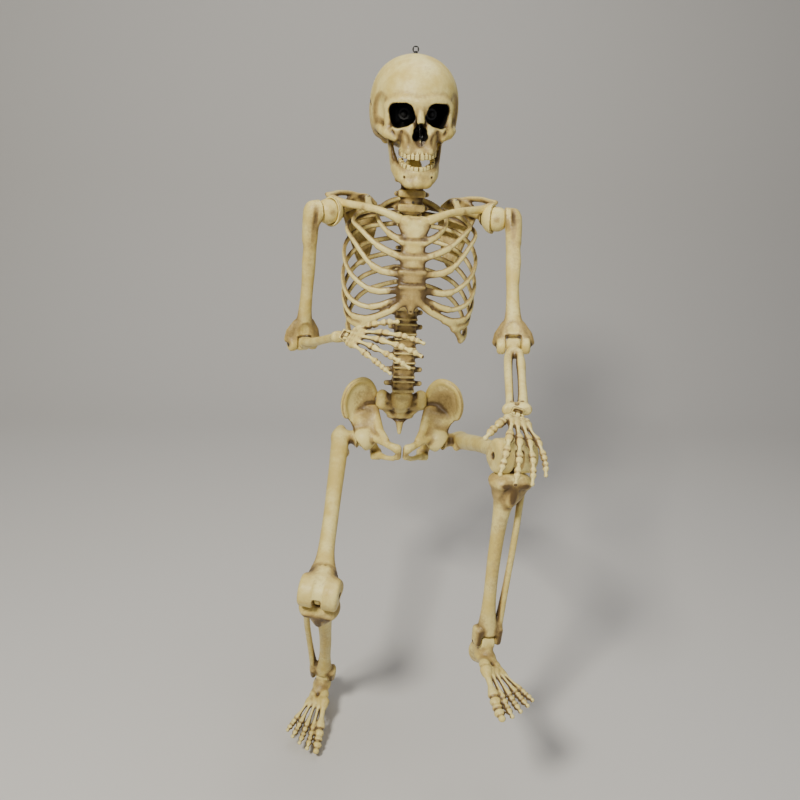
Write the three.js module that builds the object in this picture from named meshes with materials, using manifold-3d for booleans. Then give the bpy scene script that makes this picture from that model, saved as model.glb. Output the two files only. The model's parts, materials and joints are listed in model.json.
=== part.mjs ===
// A posable, life-like plastic skeleton for Halloween, sitting down, as an
// assembly of moulded bones on real joints.  Millimetres, +Z up.
// The figure faces -Y, and its left side is +X.  The origin lies midway
// between the two sitting points under the hip bones.
import * as THREE from 'three';
import { mergeVertices } from 'three/addons/utils/BufferGeometryUtils.js';
import Module from 'manifold-3d';

const wasm = await Module();
wasm.setup();

// ---------------------------------------------------------------- driving dimensions
const GAP = 0.4;                 // clearance between neighbouring pieces
const LEAN_BACK = 3.2;           // degrees that the trunk leans back from the pelvis
const LEAN_LEFT = 0.5;           // degrees that it leans to the figure's left

const HIP = { x: 72, y: -9, z: 48, ball: 16.5 };
const THIGH = 351;               // hip centre to knee axis
const SHANK = 325;               // knee axis to ankle axis
const KNEE = { r: 27, half: 33, tongue: 8.5, tongueR: 21 };
const ANKLE = { r: 12, half: 23, tongue: 11.5 };

const SHOULDER = { x: 152, y: -13, z: 471, ball: 22, seam: 15 };
const ARM_OUT = 27.4;            // ball centre to the axis of the humerus
const UPPER_ARM = 253;           // ball centre to elbow axis
const FOREARM = 205;             // elbow axis to wrist axis
const ELBOW = { r: 13.5, half: 30, tongue: 12 };
const WRIST = { r: 4.6, half: 9, tongue: 3.6 };

const NECK = { y: 36, top: 541, nod: 576, turn: 2.5, tilt: 1.8 };
const SKULL = { halfWidth: 78, halfLength: 94, halfHeight: 83, y: 14, z: 88, wall: 3.2 };
const JAW = { x: 47, y: -12, z: 34, r: 4 };

const PIN = 3;                   // radius of the knee, ankle and elbow pins
const PIN_HOLE = PIN + 0.45;

// Rest pose, in degrees: turn, lift, swing, elbow, wrist twist, wrist bend.
const ARM_POSE = {
  right: { turn: 24.9, lift: -1, swing: -11.5, elbow: 116.9, twist: 50, bend: 20 },
  left: { turn: 9.2, lift: 4.2, swing: 37.1, elbow: 34.4, twist: 20, bend: -9 },
};
const LEG_POSE = {
  right: { swing: 64.8, spread: 12.1, knee: 94.9, ankle: 24.4 },
  left: { swing: 108.1, spread: 12.4, knee: 105.6, ankle: 5.5 },
};

// ---------------------------------------------------------------- materials
const bone = new THREE.MeshStandardMaterial({ color: 0xe2d8b0, roughness: 0.5, metalness: 0 });
const black = new THREE.MeshStandardMaterial({ color: 0x0c0b0a, roughness: 0.55, metalness: 0 });
const steel = new THREE.MeshStandardMaterial({ color: 0x4a4742, roughness: 0.4, metalness: 0.9 });

// ---------------------------------------------------------------- solids
const rad = THREE.MathUtils.degToRad;
const vec = (p) => new THREE.Vector3(p[0], p[1], p[2]);
const mix = THREE.MathUtils.lerp;

function solid(geometry) {
  const bare = geometry.clone();
  bare.deleteAttribute('normal');
  bare.deleteAttribute('uv');
  const merged = mergeVertices(bare, 1e-4);
  const place = merged.attributes.position.array;
  const faces = new Uint32Array(merged.index.array);
  if (signedVolume(place, faces) < 0) turnOver(faces);
  return new wasm.Manifold(new wasm.Mesh({
    numProp: 3,
    vertProperties: new Float32Array(place),
    triVerts: faces,
  }));
}

function signedVolume(place, faces) {
  const corner = (i) => new THREE.Vector3().fromArray(place, 3 * faces[i]);
  let volume = 0;
  for (let i = 0; i < faces.length; i += 3) {
    volume += corner(i).dot(corner(i + 1).cross(corner(i + 2))) / 6;
  }
  return volume;
}

// Faces of a mirrored shape point inwards, so each is wound the other way.
function turnOver(faces) {
  for (let i = 0; i < faces.length; i += 3) {
    [faces[i], faces[i + 1]] = [faces[i + 1], faces[i]];
  }
}

const union = (...parts) => parts.flat(Infinity).reduce((all, part) => all.add(part));
const cut = (body, ...tools) => tools.flat(Infinity).reduce((all, tool) => all.subtract(tool), body);

// A tapered bar with an oval section from a to b: `wide` is the half-width
// at each end along `across`, `thick` the half-thickness at right angles.
function bar(a, b, wide, thick, across = [1, 0, 0], sides = 8) {
  const from = vec(a);
  const run = vec(b).sub(from);
  const depth = run.clone().cross(vec(across)).normalize();
  const side = depth.clone().cross(run).normalize();
  const geometry = new THREE.CylinderGeometry(1, 1, 1, sides);
  const place = geometry.attributes.position;
  for (let i = 0; i < place.count; i += 1) {
    const t = place.getY(i) + 0.5;
    const point = from.clone().addScaledVector(run, t);
    point.addScaledVector(side, place.getX(i) * mix(wide[0], wide[1], t));
    point.addScaledVector(depth, -place.getZ(i) * mix(thick[0], thick[1], t));
    place.setXYZ(i, point.x, point.y, point.z);
  }
  return solid(geometry);
}

// A round rod, tapering from radius r0 at a to r1 at b.
function rod(a, b, r0, r1 = r0, sides = 8) {
  const run = vec(b).sub(vec(a));
  const across = Math.abs(run.x) > 0.9 * run.length() ? [0, 1, 0] : [1, 0, 0];
  return bar(a, b, [r0, r1], [r0, r1], across, sides);
}

// A disc or pin along X, centred on c.
function pinX(c, r, half, sides = 14) {
  return rod([c[0] - half, c[1], c[2]], [c[0] + half, c[1], c[2]], r, r, sides);
}

function ball(c, r, scale = [1, 1, 1], w = 10, h = 6) {
  const geometry = new THREE.SphereGeometry(r, w, h);
  geometry.scale(scale[0], scale[1], scale[2]);
  geometry.translate(c[0], c[1], c[2]);
  return solid(geometry);
}

function block(c, size) {
  const geometry = new THREE.BoxGeometry(size[0], size[1], size[2]);
  geometry.translate(c[0], c[1], c[2]);
  return solid(geometry);
}

// A cup: the part of a spherical shell within `spread` degrees of `towards`.
function cup(c, inner, outer, spread, towards, w = 10) {
  const profile = [];
  const steps = 2;
  for (let i = 0; i <= steps; i += 1) {
    const a = rad(spread * (i / steps));
    profile.unshift(new THREE.Vector2(outer * Math.sin(a), outer * Math.cos(a)));
  }
  const inside = [];
  for (let i = 0; i <= steps; i += 1) {
    const a = rad(spread * (i / steps));
    inside.push(new THREE.Vector2(inner * Math.sin(a), inner * Math.cos(a)));
  }
  const outline = [...inside, ...profile].map((p) => new THREE.Vector2(Math.max(p.x, 0), p.y));
  const geometry = new THREE.LatheGeometry(outline, w);
  const turn = new THREE.Quaternion().setFromUnitVectors(new THREE.Vector3(0, 1, 0), vec(towards).normalize());
  geometry.applyQuaternion(turn);
  geometry.translate(c[0], c[1], c[2]);
  return solid(geometry);
}

// A tube through a list of points.
function tube(points, r, sides = 5, steps = 10) {
  const path = new THREE.CatmullRomCurve3(points.map(vec));
  const ring = [];
  for (let i = 0; i < sides; i += 1) {
    const a = (2 * Math.PI * i) / sides;
    ring.push(new THREE.Vector2(r * Math.cos(a), r * Math.sin(a)));
  }
  const geometry = new THREE.ExtrudeGeometry(new THREE.Shape(ring), { steps, extrudePath: path });
  return solid(geometry);
}

// A plate: an outline in its own plane, `thick` deep, placed by a matrix.
function plate(outline, thick, matrix) {
  const shape = new THREE.Shape(outline.map((p) => new THREE.Vector2(p[0], p[1])));
  const geometry = new THREE.ExtrudeGeometry(shape, { depth: thick, bevelEnabled: false });
  geometry.translate(0, 0, -thick / 2);
  geometry.applyMatrix4(matrix);
  return solid(geometry);
}

function add(parent, name, body, material = bone) {
  const mesh = body.getMesh();
  const geometry = new THREE.BufferGeometry();
  geometry.setAttribute('position', new THREE.Float32BufferAttribute(mesh.vertProperties, mesh.numProp));
  geometry.setIndex([...mesh.triVerts]);
  geometry.computeVertexNormals();
  const piece = new THREE.Mesh(geometry, material);
  piece.name = name;
  parent.add(piece);
  return piece;
}

// A turning group at `place`, turned by the given degrees about X, Y or Z.
function joint(parent, name, place, axis, degrees) {
  const group = new THREE.Group();
  group.name = name;
  group.position.set(place[0], place[1], place[2]);
  group.rotation[axis] = rad(degrees);
  parent.add(group);
  return group;
}

// ---------------------------------------------------------------- rib cage
// Each rib is a band round an oval trunk.  `half` is its half-width, and
// `route` lists degrees round from the breast bone and the height there.
const TRUNK = { y: 2, depth: 71, seam: 98, ribR: 4.4, corner: 0.82 };
const RIBS = [
  { half: 62, route: [[14, 429], [30, 436], [60, 452], [90, 466], [135, 486], [172, 498]] },
  { half: 106, route: [[6, 401], [30, 418], [60, 446], [90, 456], [135, 474], [172, 484]] },
  { half: 117, route: [[6, 372], [30, 381], [60, 424], [90, 444], [135, 460], [172, 470]] },
  { half: 121, route: [[6, 345], [30, 341], [60, 366], [90, 400], [135, 438], [172, 450]] },
  { half: 122, route: [[4, 331], [30, 311], [60, 323], [90, 358], [135, 406], [172, 424]] },
  { half: 120, route: [[27, 292], [40, 289], [60, 294], [90, 326], [135, 376], [172, 396]] },
  { half: 116, route: [[40, 276], [60, 280], [90, 300], [135, 347], [172, 368]] },
  { half: 110, route: [[60, 252], [75, 256], [90, 272], [135, 318], [172, 339]] },
];

function heightAt(route, degrees) {
  let i = 1;
  while (i < route.length - 1 && degrees > route[i][0]) i += 1;
  const [low, high] = [route[i - 1], route[i]];
  return mix(low[1], high[1], (degrees - low[0]) / (high[0] - low[0]));
}

function ribPoint(rib, degrees, q) {
  const a = rad(degrees);
  const out = Math.max(Math.sin(a), 0) ** TRUNK.corner;
  const back = -Math.sign(Math.cos(a)) * Math.abs(Math.cos(a)) ** TRUNK.corner;
  return [q * rib.half * out, TRUNK.y + TRUNK.depth * back, heightAt(rib.route, degrees)];
}

function ribPiece(rib, q, from, to) {
  const count = Math.max(3, Math.round((to - from) / 18));
  const points = [];
  for (let i = 0; i <= count; i += 1) points.push(ribPoint(rib, mix(from, to, i / count), q));
  return tube(points, TRUNK.ribR, 4, count);
}

function ribCageFront() {
  const breastBone = union(
    bar([0, -57, 470], [0, -62, 436], [27, 22], [5.5, 6], [1, 0, 0], 8),
    bar([0, -62, 437], [0, -73, 336], [22, 26], [6, 6.5], [1, 0, 0], 8),
    bar([0, -73, 337], [0, -74, 318], [26, 9], [6.5, 4], [1, 0, 0], 8),
  );
  const bands = [];
  for (const q of [-1, 1]) {
    RIBS.forEach((rib) => bands.push(ribPiece(rib, q, rib.route[0][0], TRUNK.seam - 1)));
    // the costal arch that gathers the front ends of the lower ribs
    const ends = RIBS.slice(5).map((rib) => ribPoint(rib, rib.route[0][0] + 1, q));
    bands.push(tube([[q * 12, -76, 327], [q * 34, -73, 309], ...ends], 5, 5, 7));
  }
  return union(breastBone, bands);
}

function ribCageBack() {
  const spine = [
    rod([0, 28, 307], [0, 47, 420], 16, 14, 8),
    rod([0, 47, 419], [0, 42, 470], 14, 14, 8),
    bar([0, 57, 328], [0, 68, 440], [5, 5], [18, 14], [1, 0, 0], 4),
    bar([0, 68, 434], [0, 66, 508], [5, 5], [14, 10], [1, 0, 0], 4),
  ];
  const bands = [];
  for (const q of [-1, 1]) {
    RIBS.forEach((rib) => bands.push(ribPiece(rib, q, TRUNK.seam + 1, 180)));
  }
  return union(spine, bands);
}

// ---------------------------------------------------------------- spine, neck and pelvis
// A stack of waisted drums, bending back as it rises, with a process on
// each side of every drum and one behind it.
const LUMBAR = { low: 138, pitch: 27.3, count: 6, disc: 18, waist: 15, y: 9, bend: 10 };

function lumbarSpine() {
  const { low, pitch, count, disc, waist, y, bend } = LUMBAR;
  const top = low + pitch * count;
  const backAt = (z) => y + bend * ((z - low) / (top - low)) ** 2;
  const profile = [new THREE.Vector2(0, low), new THREE.Vector2(disc, low)];
  for (let i = 0; i < count; i += 1) {
    profile.push(new THREE.Vector2(waist, low + pitch * (i + 0.5)));
    profile.push(new THREE.Vector2(disc, low + pitch * (i + 1)));
  }
  profile.push(new THREE.Vector2(0, top));
  const column = new THREE.LatheGeometry(profile, 8);
  column.rotateX(Math.PI / 2);
  const place = column.attributes.position;
  for (let i = 0; i < place.count; i += 1) {
    place.setY(i, place.getY(i) + backAt(place.getZ(i)));
  }
  const pieces = [solid(column)];
  for (let i = 0; i < count; i += 1) {
    const z = low + pitch * (i + 0.5);
    const back = backAt(z);
    pieces.push(block([0, back + 8, z], [68 - 2 * i, 8, 7]));
    pieces.push(bar([0, back + 8, z], [0, back + 32, z - 7], [3, 2.5], [6, 5], [1, 0, 0], 4));
  }
  return union(pieces);
}

function neckVertebrae() {
  const pieces = [];
  const count = 4;
  for (let i = 0; i < count; i += 1) {
    const z = mix(479, NECK.top - 7, i / (count - 1));
    pieces.push(bar([0, NECK.y, z - 5.5], [0, NECK.y, z + 5.5], [25, 25], [15, 15], [1, 0, 0], 8));
  }
  pieces.push(rod([0, NECK.y, 473], [0, NECK.y, NECK.top], 12, 12, 6));
  return union(pieces);
}

function sacrum() {
  return union(
    bar([0, 19, 131], [0, 33, 92], [25, 21], [15, 9], [1, 0, 0], 8),
    bar([0, 24, 128], [0, 36, 96], [46, 30], [9, 8], [1, 0, 0], 8),
    bar([0, 33, 94], [0, 40, 74], [25, 13], [8, 6], [1, 0, 0], 8),
    bar([0, 39, 76], [0, 35, 40], [9, 3.5], [5, 3], [1, 0, 0], 8),
  );
}

// The wing of the hip bone, seen from the front: distance out and height.
const WING = [
  [50, 100], [52, 128], [62, 150], [76, 161], [92, 158], [105, 145],
  [111, 124], [110, 105], [100, 91], [88, 82], [84, 68], [72, 60], [58, 66],
];

function hipBone(q) {
  const sweep = -0.62;
  const flat = new THREE.Matrix4().makeBasis(
    new THREE.Vector3(q, sweep, 0),
    new THREE.Vector3(0, 0, 1),
    new THREE.Vector3(0, 1, 0),
  );
  flat.setPosition(0, 24 - sweep * 50, 0);
  const wing = cut(plate(WING, 8, flat), block([0, 0, 100], [97, 200, 400]));
  const centre = [q * HIP.x, HIP.y, HIP.z];
  const socket = cup(centre, HIP.ball + 3 * GAP, HIP.ball + 6, 62, [-q * 0.8, 0.1, 0.6]);
  const frame = union(
    bar([q * 64, 2, 58], [q * 76, 4, 88], [12, 17], [9, 6], [1, 0, 0], 8),
    rod([q * 55, -20, 56], [q * 10, -58, 47], 8, 6.5, 6),
    rod([q * 9.5, -58, 50], [q * 9.5, -52, 27], 7.5, 6.5, 6),
    rod([q * 10, -52, 29], [q * 42, 4, 9], 6.5, 6, 6),
    rod([q * 56, 8, 44], [q * 46, 12, 9], 10, 9, 8),
    block([q * 46, 12, 6], [20, 30, 12]),
  );
  const ballRoom = ball(centre, HIP.ball + 3 * GAP, [1, 1, 1], 16, 10);
  return union(cut(union(wing, frame), ballRoom), socket);
}

// ---------------------------------------------------------------- shoulders
function clavicle(q) {
  const route = [[28, -56, 467], [60, -52, 478], [92, -30, 486], [124, -6, 497], [147, 6, 505]];
  return union(
    tube(route.map((p) => [q * p[0], p[1], p[2]]), 6, 6, 8),
    bar([q * 79, -40, 484], [q * 80, 23, 497], [8, 6], [4, 4], [1, 0, 0], 6),
  );
}

// Shoulder blade, seen from behind: distance out and height.
const BLADE = [
  [64, 486], [84, 500], [112, 494], [122, 474], [117, 448], [104, 410],
  [92, 378], [84, 372], [76, 384], [68, 420], [62, 456],
];

function scapula(q) {
  const sweep = -0.45;
  const flat = new THREE.Matrix4().makeBasis(
    new THREE.Vector3(q, sweep, 0),
    new THREE.Vector3(0, 0, 1),
    new THREE.Vector3(0, 1, 0),
  );
  flat.setPosition(0, 92 - sweep * 60, 0);
  const centre = [q * SHOULDER.x, SHOULDER.y, SHOULDER.z];
  const outer = SHOULDER.ball + 6 + 4 * GAP;
  const socket = cup(centre, outer, outer + 4.5, 38, [-q, 0.62, 0.05]);
  const body = union(
    plate(BLADE, 5, flat),
    rod([q * 131, 3, 473], [q * 113, 62, 478], 8, 7, 6),
    bar([q * 80, 24.5, 497.4], [q * 82, 84, 492], [6, 6], [4, 4], [1, 0, 0], 6),
    bar([q * 76, 84, 492], [q * 138, 40, 507], [4, 5], [6, 4], [0, 1, 0.2], 6),
    bar([q * 138, 40, 507], [q * 150, 20, 507], [7, 8], [4, 4], [0, 1, 0.2], 6),
  );
  return union(cut(body, ball(centre, outer, [1, 1, 1], 14, 8)), socket);
}

// ---------------------------------------------------------------- arms
// All arm bones are drawn hanging straight down from the ball's centre.
function shoulderCollar(q) {
  return cup([0, 0, 0], SHOULDER.ball + 4 * GAP, SHOULDER.ball + 6, 56, [-q, 0.25, 0.05]);
}

function shoulderBall(q) {
  const cutAway = block([q * (SHOULDER.seam + 50), 0, 0], [100, 100, 100]);
  return cut(ball([0, 0, 0], SHOULDER.ball, [1, 1, 1], 14, 8), cutAway);
}

function humerus(q) {
  const x = q * ARM_OUT;
  const inner = q * (SHOULDER.seam + GAP);
  const ballSide = block([inner - q * 50, 0, 20], [100, 100, 100]);
  const fork = [ELBOW.tongue + GAP + 9, ELBOW.half - ELBOW.tongue - GAP];
  const cheeks = [-1, 1].map((side) => pinX(
    [x + side * (ELBOW.tongue + GAP + fork[1] / 2), 0, -UPPER_ARM], 15, fork[1] / 2, 12));
  const arms = [-1, 1].map((side) => bar(
    [x + side * 8, 1, -UPPER_ARM + 42], [x + side * fork[0], 0, -UPPER_ARM + 2], [9, 8], [11, 12], [1, 0, 0], 8));
  const whole = union(
    rod([inner, 0, 0], [q * 42, 0, -1], 21, 16, 10),
    ball([q * 38, 0, 0], 17, [0.8, 1, 1]),
    rod([x, 0, 6], [x, 0, -60], 18, 13, 8),
    rod([x, 0, -59], [x, 0, -UPPER_ARM + 38], 13, 11.5, 8),
    arms,
    cheeks,
  );
  const room = union(
    block([x, 0, -UPPER_ARM - 10], [2 * (ELBOW.tongue + GAP), 80, 20 + 2 * (ELBOW.r + 3)]),
    pinX([x, 0, -UPPER_ARM], PIN_HOLE, 50),
  );
  return cut(whole, room, ballSide);
}

function elbowPin(q) {
  return pinX([q * ARM_OUT, 0, -UPPER_ARM], PIN, ELBOW.half - 1, 12);
}

function forearm(q) {
  const body = union(
    pinX([0, 0, 0], ELBOW.r, ELBOW.tongue),
    block([0, 0, -11], [2 * ELBOW.tongue, 20, 14]),
    bar([0, 0, -17], [0, 0, -32], [ELBOW.tongue, 16], [10, 9], [1, 0, 0], 8),
    tube([[-q * 9, 0, -26], [-q * 15, -1, -80], [-q * 14, 0, -140], [-q * 11, 0, -180]], 6.2, 5, 5),
    tube([[q * 9, 0, -26], [q * 13, 2, -80], [q * 12, 1, -140], [q * 10, 0, -180]], 6.8, 5, 5),
    bar([0, 0, -172], [0, 0, -FOREARM + 12], [15, 19], [7, 9], [1, 0, 0], 8),
  );
  return cut(body, pinX([0, 0, 0], PIN_HOLE, 50));
}

function wristKnuckle() {
  return union(
    rod([0, 0, 12 - GAP], [0, 0, 7.2], 10, 9, 8),
    block([0, 0, 4], [2 * WRIST.tongue, 2 * WRIST.r - 0.6, 8]),
    pinX([0, 0, 0], WRIST.r, WRIST.tongue, 10),
  );
}

// Hand bones: start across the palm towards the thumb, start height, degrees
// of splay, and the length and curl of each bone out to the tip.
const FINGERS = [
  { across: 14, start: -14, splay: -38, lengths: [30, 27, 20], curls: [0, 12, 14] },
  { across: 11, start: -22, splay: -8, lengths: [54, 36, 23, 17], curls: [0, 12, 14, 16] },
  { across: 3.5, start: -22, splay: -1, lengths: [56, 39, 26, 18], curls: [0, 12, 14, 16] },
  { across: -4.5, start: -22, splay: 7, lengths: [51, 36, 24, 18], curls: [0, 12, 14, 16] },
  { across: -12, start: -21, splay: 16, lengths: [46, 29, 17, 15], curls: [0, 12, 14, 16] },
];

function finger(q, { across, start, splay, lengths, curls }) {
  const turn = new THREE.Matrix4().makeRotationY(rad(-q * splay));
  const points = [[-q * across, 0, start]];
  let bend = 0;
  lengths.forEach((length, i) => {
    bend += curls[i];
    const step = new THREE.Vector3(0, Math.sin(rad(bend)), -Math.cos(rad(bend)));
    step.applyMatrix4(turn).multiplyScalar(length);
    const at = points[i];
    points.push([at[0] + step.x, at[1] + step.y, at[2] + step.z]);
  });
  return tube(points, 4, 4, lengths.length);
}

function hand(q) {
  const ears = [-1, 1].map((side) => pinX(
    [side * (WRIST.tongue + GAP + 2.5), 0, 0], WRIST.r, 2.5, 8));
  const roots = [-1, 1].map((side) => block(
    [side * (WRIST.tongue + GAP + 2.5), 0, -5], [5, 2 * WRIST.r - 0.8, 10]));
  const palm = bar([0, 0, -8], [0, 1, -30], [14, 18], [7, 7], [1, 0, 0], 8);
  return union(palm, ears, roots, FINGERS.map((shape) => finger(q, shape)));
}

// ---------------------------------------------------------------- legs
// All leg bones are drawn hanging straight down from the hip's centre.
const hipBall = () => ball([0, 0, 0], HIP.ball, [1, 1, 1], 14, 8);

function femur(q) {
  const seat = cup([0, 0, 0], HIP.ball + 3 * GAP, HIP.ball + 6, 50, [q, 0, 0]);
  const neck = cut(
    rod([q * 12, 0, 0], [q * 42, 0, -4], 12, 13, 8),
    ball([0, 0, 0], HIP.ball + 3 * GAP, [1, 1, 1], 14, 8),
  );
  const side = KNEE.tongue + GAP;
  const width = (KNEE.half - side) / 2;
  const condyles = [-1, 1].map((s) => pinX([s * (side + width), 0, -THIGH], KNEE.r, width, 16));
  const shaft = union(
    ball([q * 44, 2, 2], 17, [0.8, 1, 1.1]),
    rod([q * 40, 0, 0], [q * 36, 0, -50], 16, 13, 8),
    rod([q * 36, 0, -49], [q * 6, 0, -THIGH + 66], 13, 12.5, 8),
    bar([q * 6.5, 0, -THIGH + 68], [0, 0, -THIGH + 16], [12.5, KNEE.half - 2], [12.5, 13], [1, 0, 0], 8),
  );
  const room = union(
    block([0, 0, -THIGH - 10], [2 * side, 100, 20 + 2 * (KNEE.tongueR + 2)]),
    pinX([0, 0, -THIGH], PIN_HOLE + 1, 60),
  );
  return union(seat, neck, cut(union(shaft, condyles), room));
}

const kneePin = () => pinX([0, 0, -THIGH], PIN + 1, KNEE.half - 2, 12);

function shin(q) {
  const top = -KNEE.r - 1.2;
  const body = union(
    pinX([0, 0, 0], KNEE.tongueR, KNEE.tongue, 16),
    block([0, -1, -18], [2 * KNEE.tongue, 26, 26]),
    bar([0, 0, top], [0, 0, top - 16], [33, 31], [19, 17], [1, 0, 0], 10),
    rod([-q * 5, 0, top - 12], [-q * 6, 0, -110], 18, 12, 8),
    rod([-q * 6, 0, -109], [0, 0, -SHANK + 26], 12, 11, 8),
    tube([[q * 25, 6, top - 10], [q * 26, 7, -120], [q * 22, 5, -220], [q * 15, 2, -SHANK + 24]], 6, 5, 5),
    bar([0, 0, -SHANK + 34], [0, 0, -SHANK + 12], [14, ANKLE.half], [11, 13], [1, 0, 0], 8),
  );
  const inner = ANKLE.tongue + GAP;
  const width = (ANKLE.half - inner) / 2;
  const ears = [-1, 1].map((s) => pinX([s * (inner + width), 0, -SHANK], 11.5, width, 10));
  const roots = [-1, 1].map((s) => block(
    [s * (inner + width), 0, -SHANK + 8], [2 * width, 20, 16]));
  const room = union(
    block([0, 0, -SHANK - 4], [2 * inner, 80, 8 + 2 * (ANKLE.r + 2)]),
    pinX([0, 0, -SHANK], PIN_HOLE, 60),
  );
  return cut(union(body, ears, roots), room, pinX([0, 0, 0], PIN_HOLE + 1, 60));
}

const anklePin = () => pinX([0, 0, -SHANK], PIN, ANKLE.half - 1, 12);

// Toes: start across the foot towards the big toe, splay, and bone lengths.
const TOES = [
  { across: 13, splay: -5, lengths: [62, 24, 20], r: 6.2 },
  { across: 6, splay: -1, lengths: [66, 20, 18], r: 4.6 },
  { across: -1, splay: 3, lengths: [62, 19, 16], r: 4.4 },
  { across: -8, splay: 8, lengths: [57, 17, 15], r: 4.4 },
  { across: -14, splay: 13, lengths: [52, 15, 13], r: 4.4 },
];

const TOE_DROPS = [0.36, 0.3, 0.12];

function toe(q, { across, splay, lengths, r }) {
  const points = [[-q * across, -32, -26 - Math.abs(across - 13) * 0.35]];
  lengths.forEach((length, i) => {
    const drop = TOE_DROPS[i] * (1 - 0.02 * (13 - across));
    const flat = Math.sqrt(1 - drop ** 2) * length;
    const at = points[i];
    points.push([
      at[0] + q * Math.sin(rad(splay)) * flat,
      at[1] - Math.cos(rad(splay)) * flat,
      at[2] - drop * length,
    ]);
  });
  return tube(points, r, 4, lengths.length);
}

function foot(q) {
  const body = union(
    pinX([0, 0, 0], ANKLE.r, ANKLE.tongue),
    block([0, 0, -8], [2 * ANKLE.tongue, 22, 14]),
    bar([0, 2, -13.5], [0, -2, -28], [ANKLE.tongue, 16], [12, 14], [1, 0, 0], 8),
    bar([0, 4, -27], [q * 2, 46, -42], [15, 12], [12, 15], [1, 0, 0], 8),
    bar([0, 0, -26], [0, -42, -30], [17, 20], [12, 9], [1, 0, 0], 8),
    TOES.map((shape) => toe(q, shape)),
  );
  return cut(body, pinX([0, 0, 0], PIN_HOLE, 60));
}

// ---------------------------------------------------------------- head
// The head is drawn about its nodding axis, looking towards -Y.
function dome(grow) {
  const geometry = new THREE.SphereGeometry(1, 18, 12);
  geometry.scale(SKULL.halfWidth + grow, SKULL.halfLength + grow, SKULL.halfHeight + grow);
  geometry.translate(0, SKULL.y, SKULL.z);
  return solid(geometry);
}

const EYE = { x: 29, y: -62, z: 70, r: 19 };

function skullWhole() {
  const face = union(
    bar([0, -38, 108], [0, -46, 30], [60, 44], [34, 26], [1, 0, 0], 10),
    bar([0, -46, 44], [0, -58, 3], [34, 28], [22, 22], [1, 0, 0], 8),
    [-1, 1].map((q) => tube([[q * 40, -58, 42], [q * 64, -20, 54], [q * 66, 8, 52]], 6, 5, 4)),
  );
  const lugs = [-1, 1].map((q) => block([q * 14, 0, 8], [6, 16, 24]));
  const inside = union(
    dome(-SKULL.wall),
    bar([0, -36, 104], [0, -42, 40], [44, 34], [26, 18], [1, 0, 0], 8),
  );
  const sockets = [-1, 1].map((q) => rod([q * EYE.x, -90, EYE.z], [q * (EYE.x - 6), -34, EYE.z], EYE.r + 1, EYE.r - 7, 10));
  const nose = bar([0, -100, 48], [0, -40, 48], [11, 8], [17, 12], [1, 0, 0], 8);
  const pinRoom = pinX([0, 0, 0], PIN_HOLE, 60);
  const jawRoom = [-1, 1].map((q) => pinX([q * JAW.x, JAW.y, JAW.z], JAW.r + 0.5, 20));
  const jawSpace = [-1, 1].map((q) => block([q * JAW.x, JAW.y - 8, JAW.z - 6], [12, 44, 40]));
  const neckRoom = block([0, 0, -4], [22.5, 34, 34]);
  return union(cut(union(dome(0), face), inside, sockets, nose, jawSpace, jawRoom, neckRoom), cut(union(lugs), pinRoom));
}

function jaw() {
  const jawOpen = 9;
  const at = (y, z) => {
    const a = rad(jawOpen);
    const dy = y - JAW.y;
    const dz = z - JAW.z;
    return [JAW.y + dy * Math.cos(a) - dz * Math.sin(a), JAW.z + dy * Math.sin(a) + dz * Math.cos(a)];
  };
  const point = (x, y, z) => [x, ...at(y, z)];
  const sides = [-1, 1].map((q) => union(
    pinX([q * JAW.x, JAW.y, JAW.z], 7, 3, 12),
    bar([q * JAW.x, JAW.y, JAW.z], point(q * 41, -10, -10), [3, 4], [8, 13], [1, 0, 0], 8),
    bar(point(q * 41, -10, -8), point(q * 24, -64, -30), [4.5, 6], [10, 11], [1, 0, 0], 8),
  ));
  const chin = bar(point(-24, -66, -31), point(24, -66, -31), [8, 8], [12, 12], [0, 1, 0], 6);
  const teeth = bar(point(0, -66, -20), point(0, -68, -5), [25, 24], [10, 9], [1, 0, 0], 8);
  const mouth = bar(point(0, -56, -40), point(0, -58, 4), [19, 18], [9, 8], [1, 0, 0], 8);
  const holes = [-1, 1].map((q) => pinX([q * JAW.x, JAW.y, JAW.z], JAW.r + 0.5, 8));
  return cut(union(sides, chin, cut(teeth, mouth)), holes);
}

const HEAD_SEAM = 6;             // the two halves of the skull meet at this Y
const FACE_SIDE = [0, HEAD_SEAM - 200 - GAP / 2, 80];
const REAR_SIDE = [0, HEAD_SEAM + 200 + GAP / 2, 80];

function eyeInsert(q) {
  return union(
    rod([q * (EYE.x - 5), -41, EYE.z], [q * (EYE.x - 5.6), -36, EYE.z], 10, 10, 10),
    ball([q * (EYE.x - 4.6), -42, EYE.z], 6.5, [1, 0.6, 1], 8, 6),
  );
}

// A small ring on a stalk, with flat sides, that a hook goes through.
const LOOP = { y: 14, base: 171.3, outer: 6, inner: 3.4, thick: 3 };
LOOP.centre = LOOP.base + LOOP.outer;

function hangLoop() {
  const ring = new THREE.Shape();
  ring.absarc(0, 0, LOOP.outer, 0, 2 * Math.PI);
  const hole = new THREE.Path();
  hole.moveTo(-LOOP.inner, -LOOP.inner);
  hole.lineTo(-LOOP.inner, LOOP.inner);
  hole.lineTo(LOOP.inner, LOOP.inner);
  hole.lineTo(LOOP.inner, -LOOP.inner);
  hole.closePath();
  ring.holes.push(hole);
  const geometry = new THREE.ExtrudeGeometry(ring, {
    depth: LOOP.thick, bevelEnabled: false, curveSegments: 8,
  });
  geometry.translate(0, 0, -LOOP.thick / 2);
  geometry.rotateX(Math.PI / 2);
  geometry.translate(0, LOOP.y, LOOP.centre);
  return solid(geometry);
}

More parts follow.
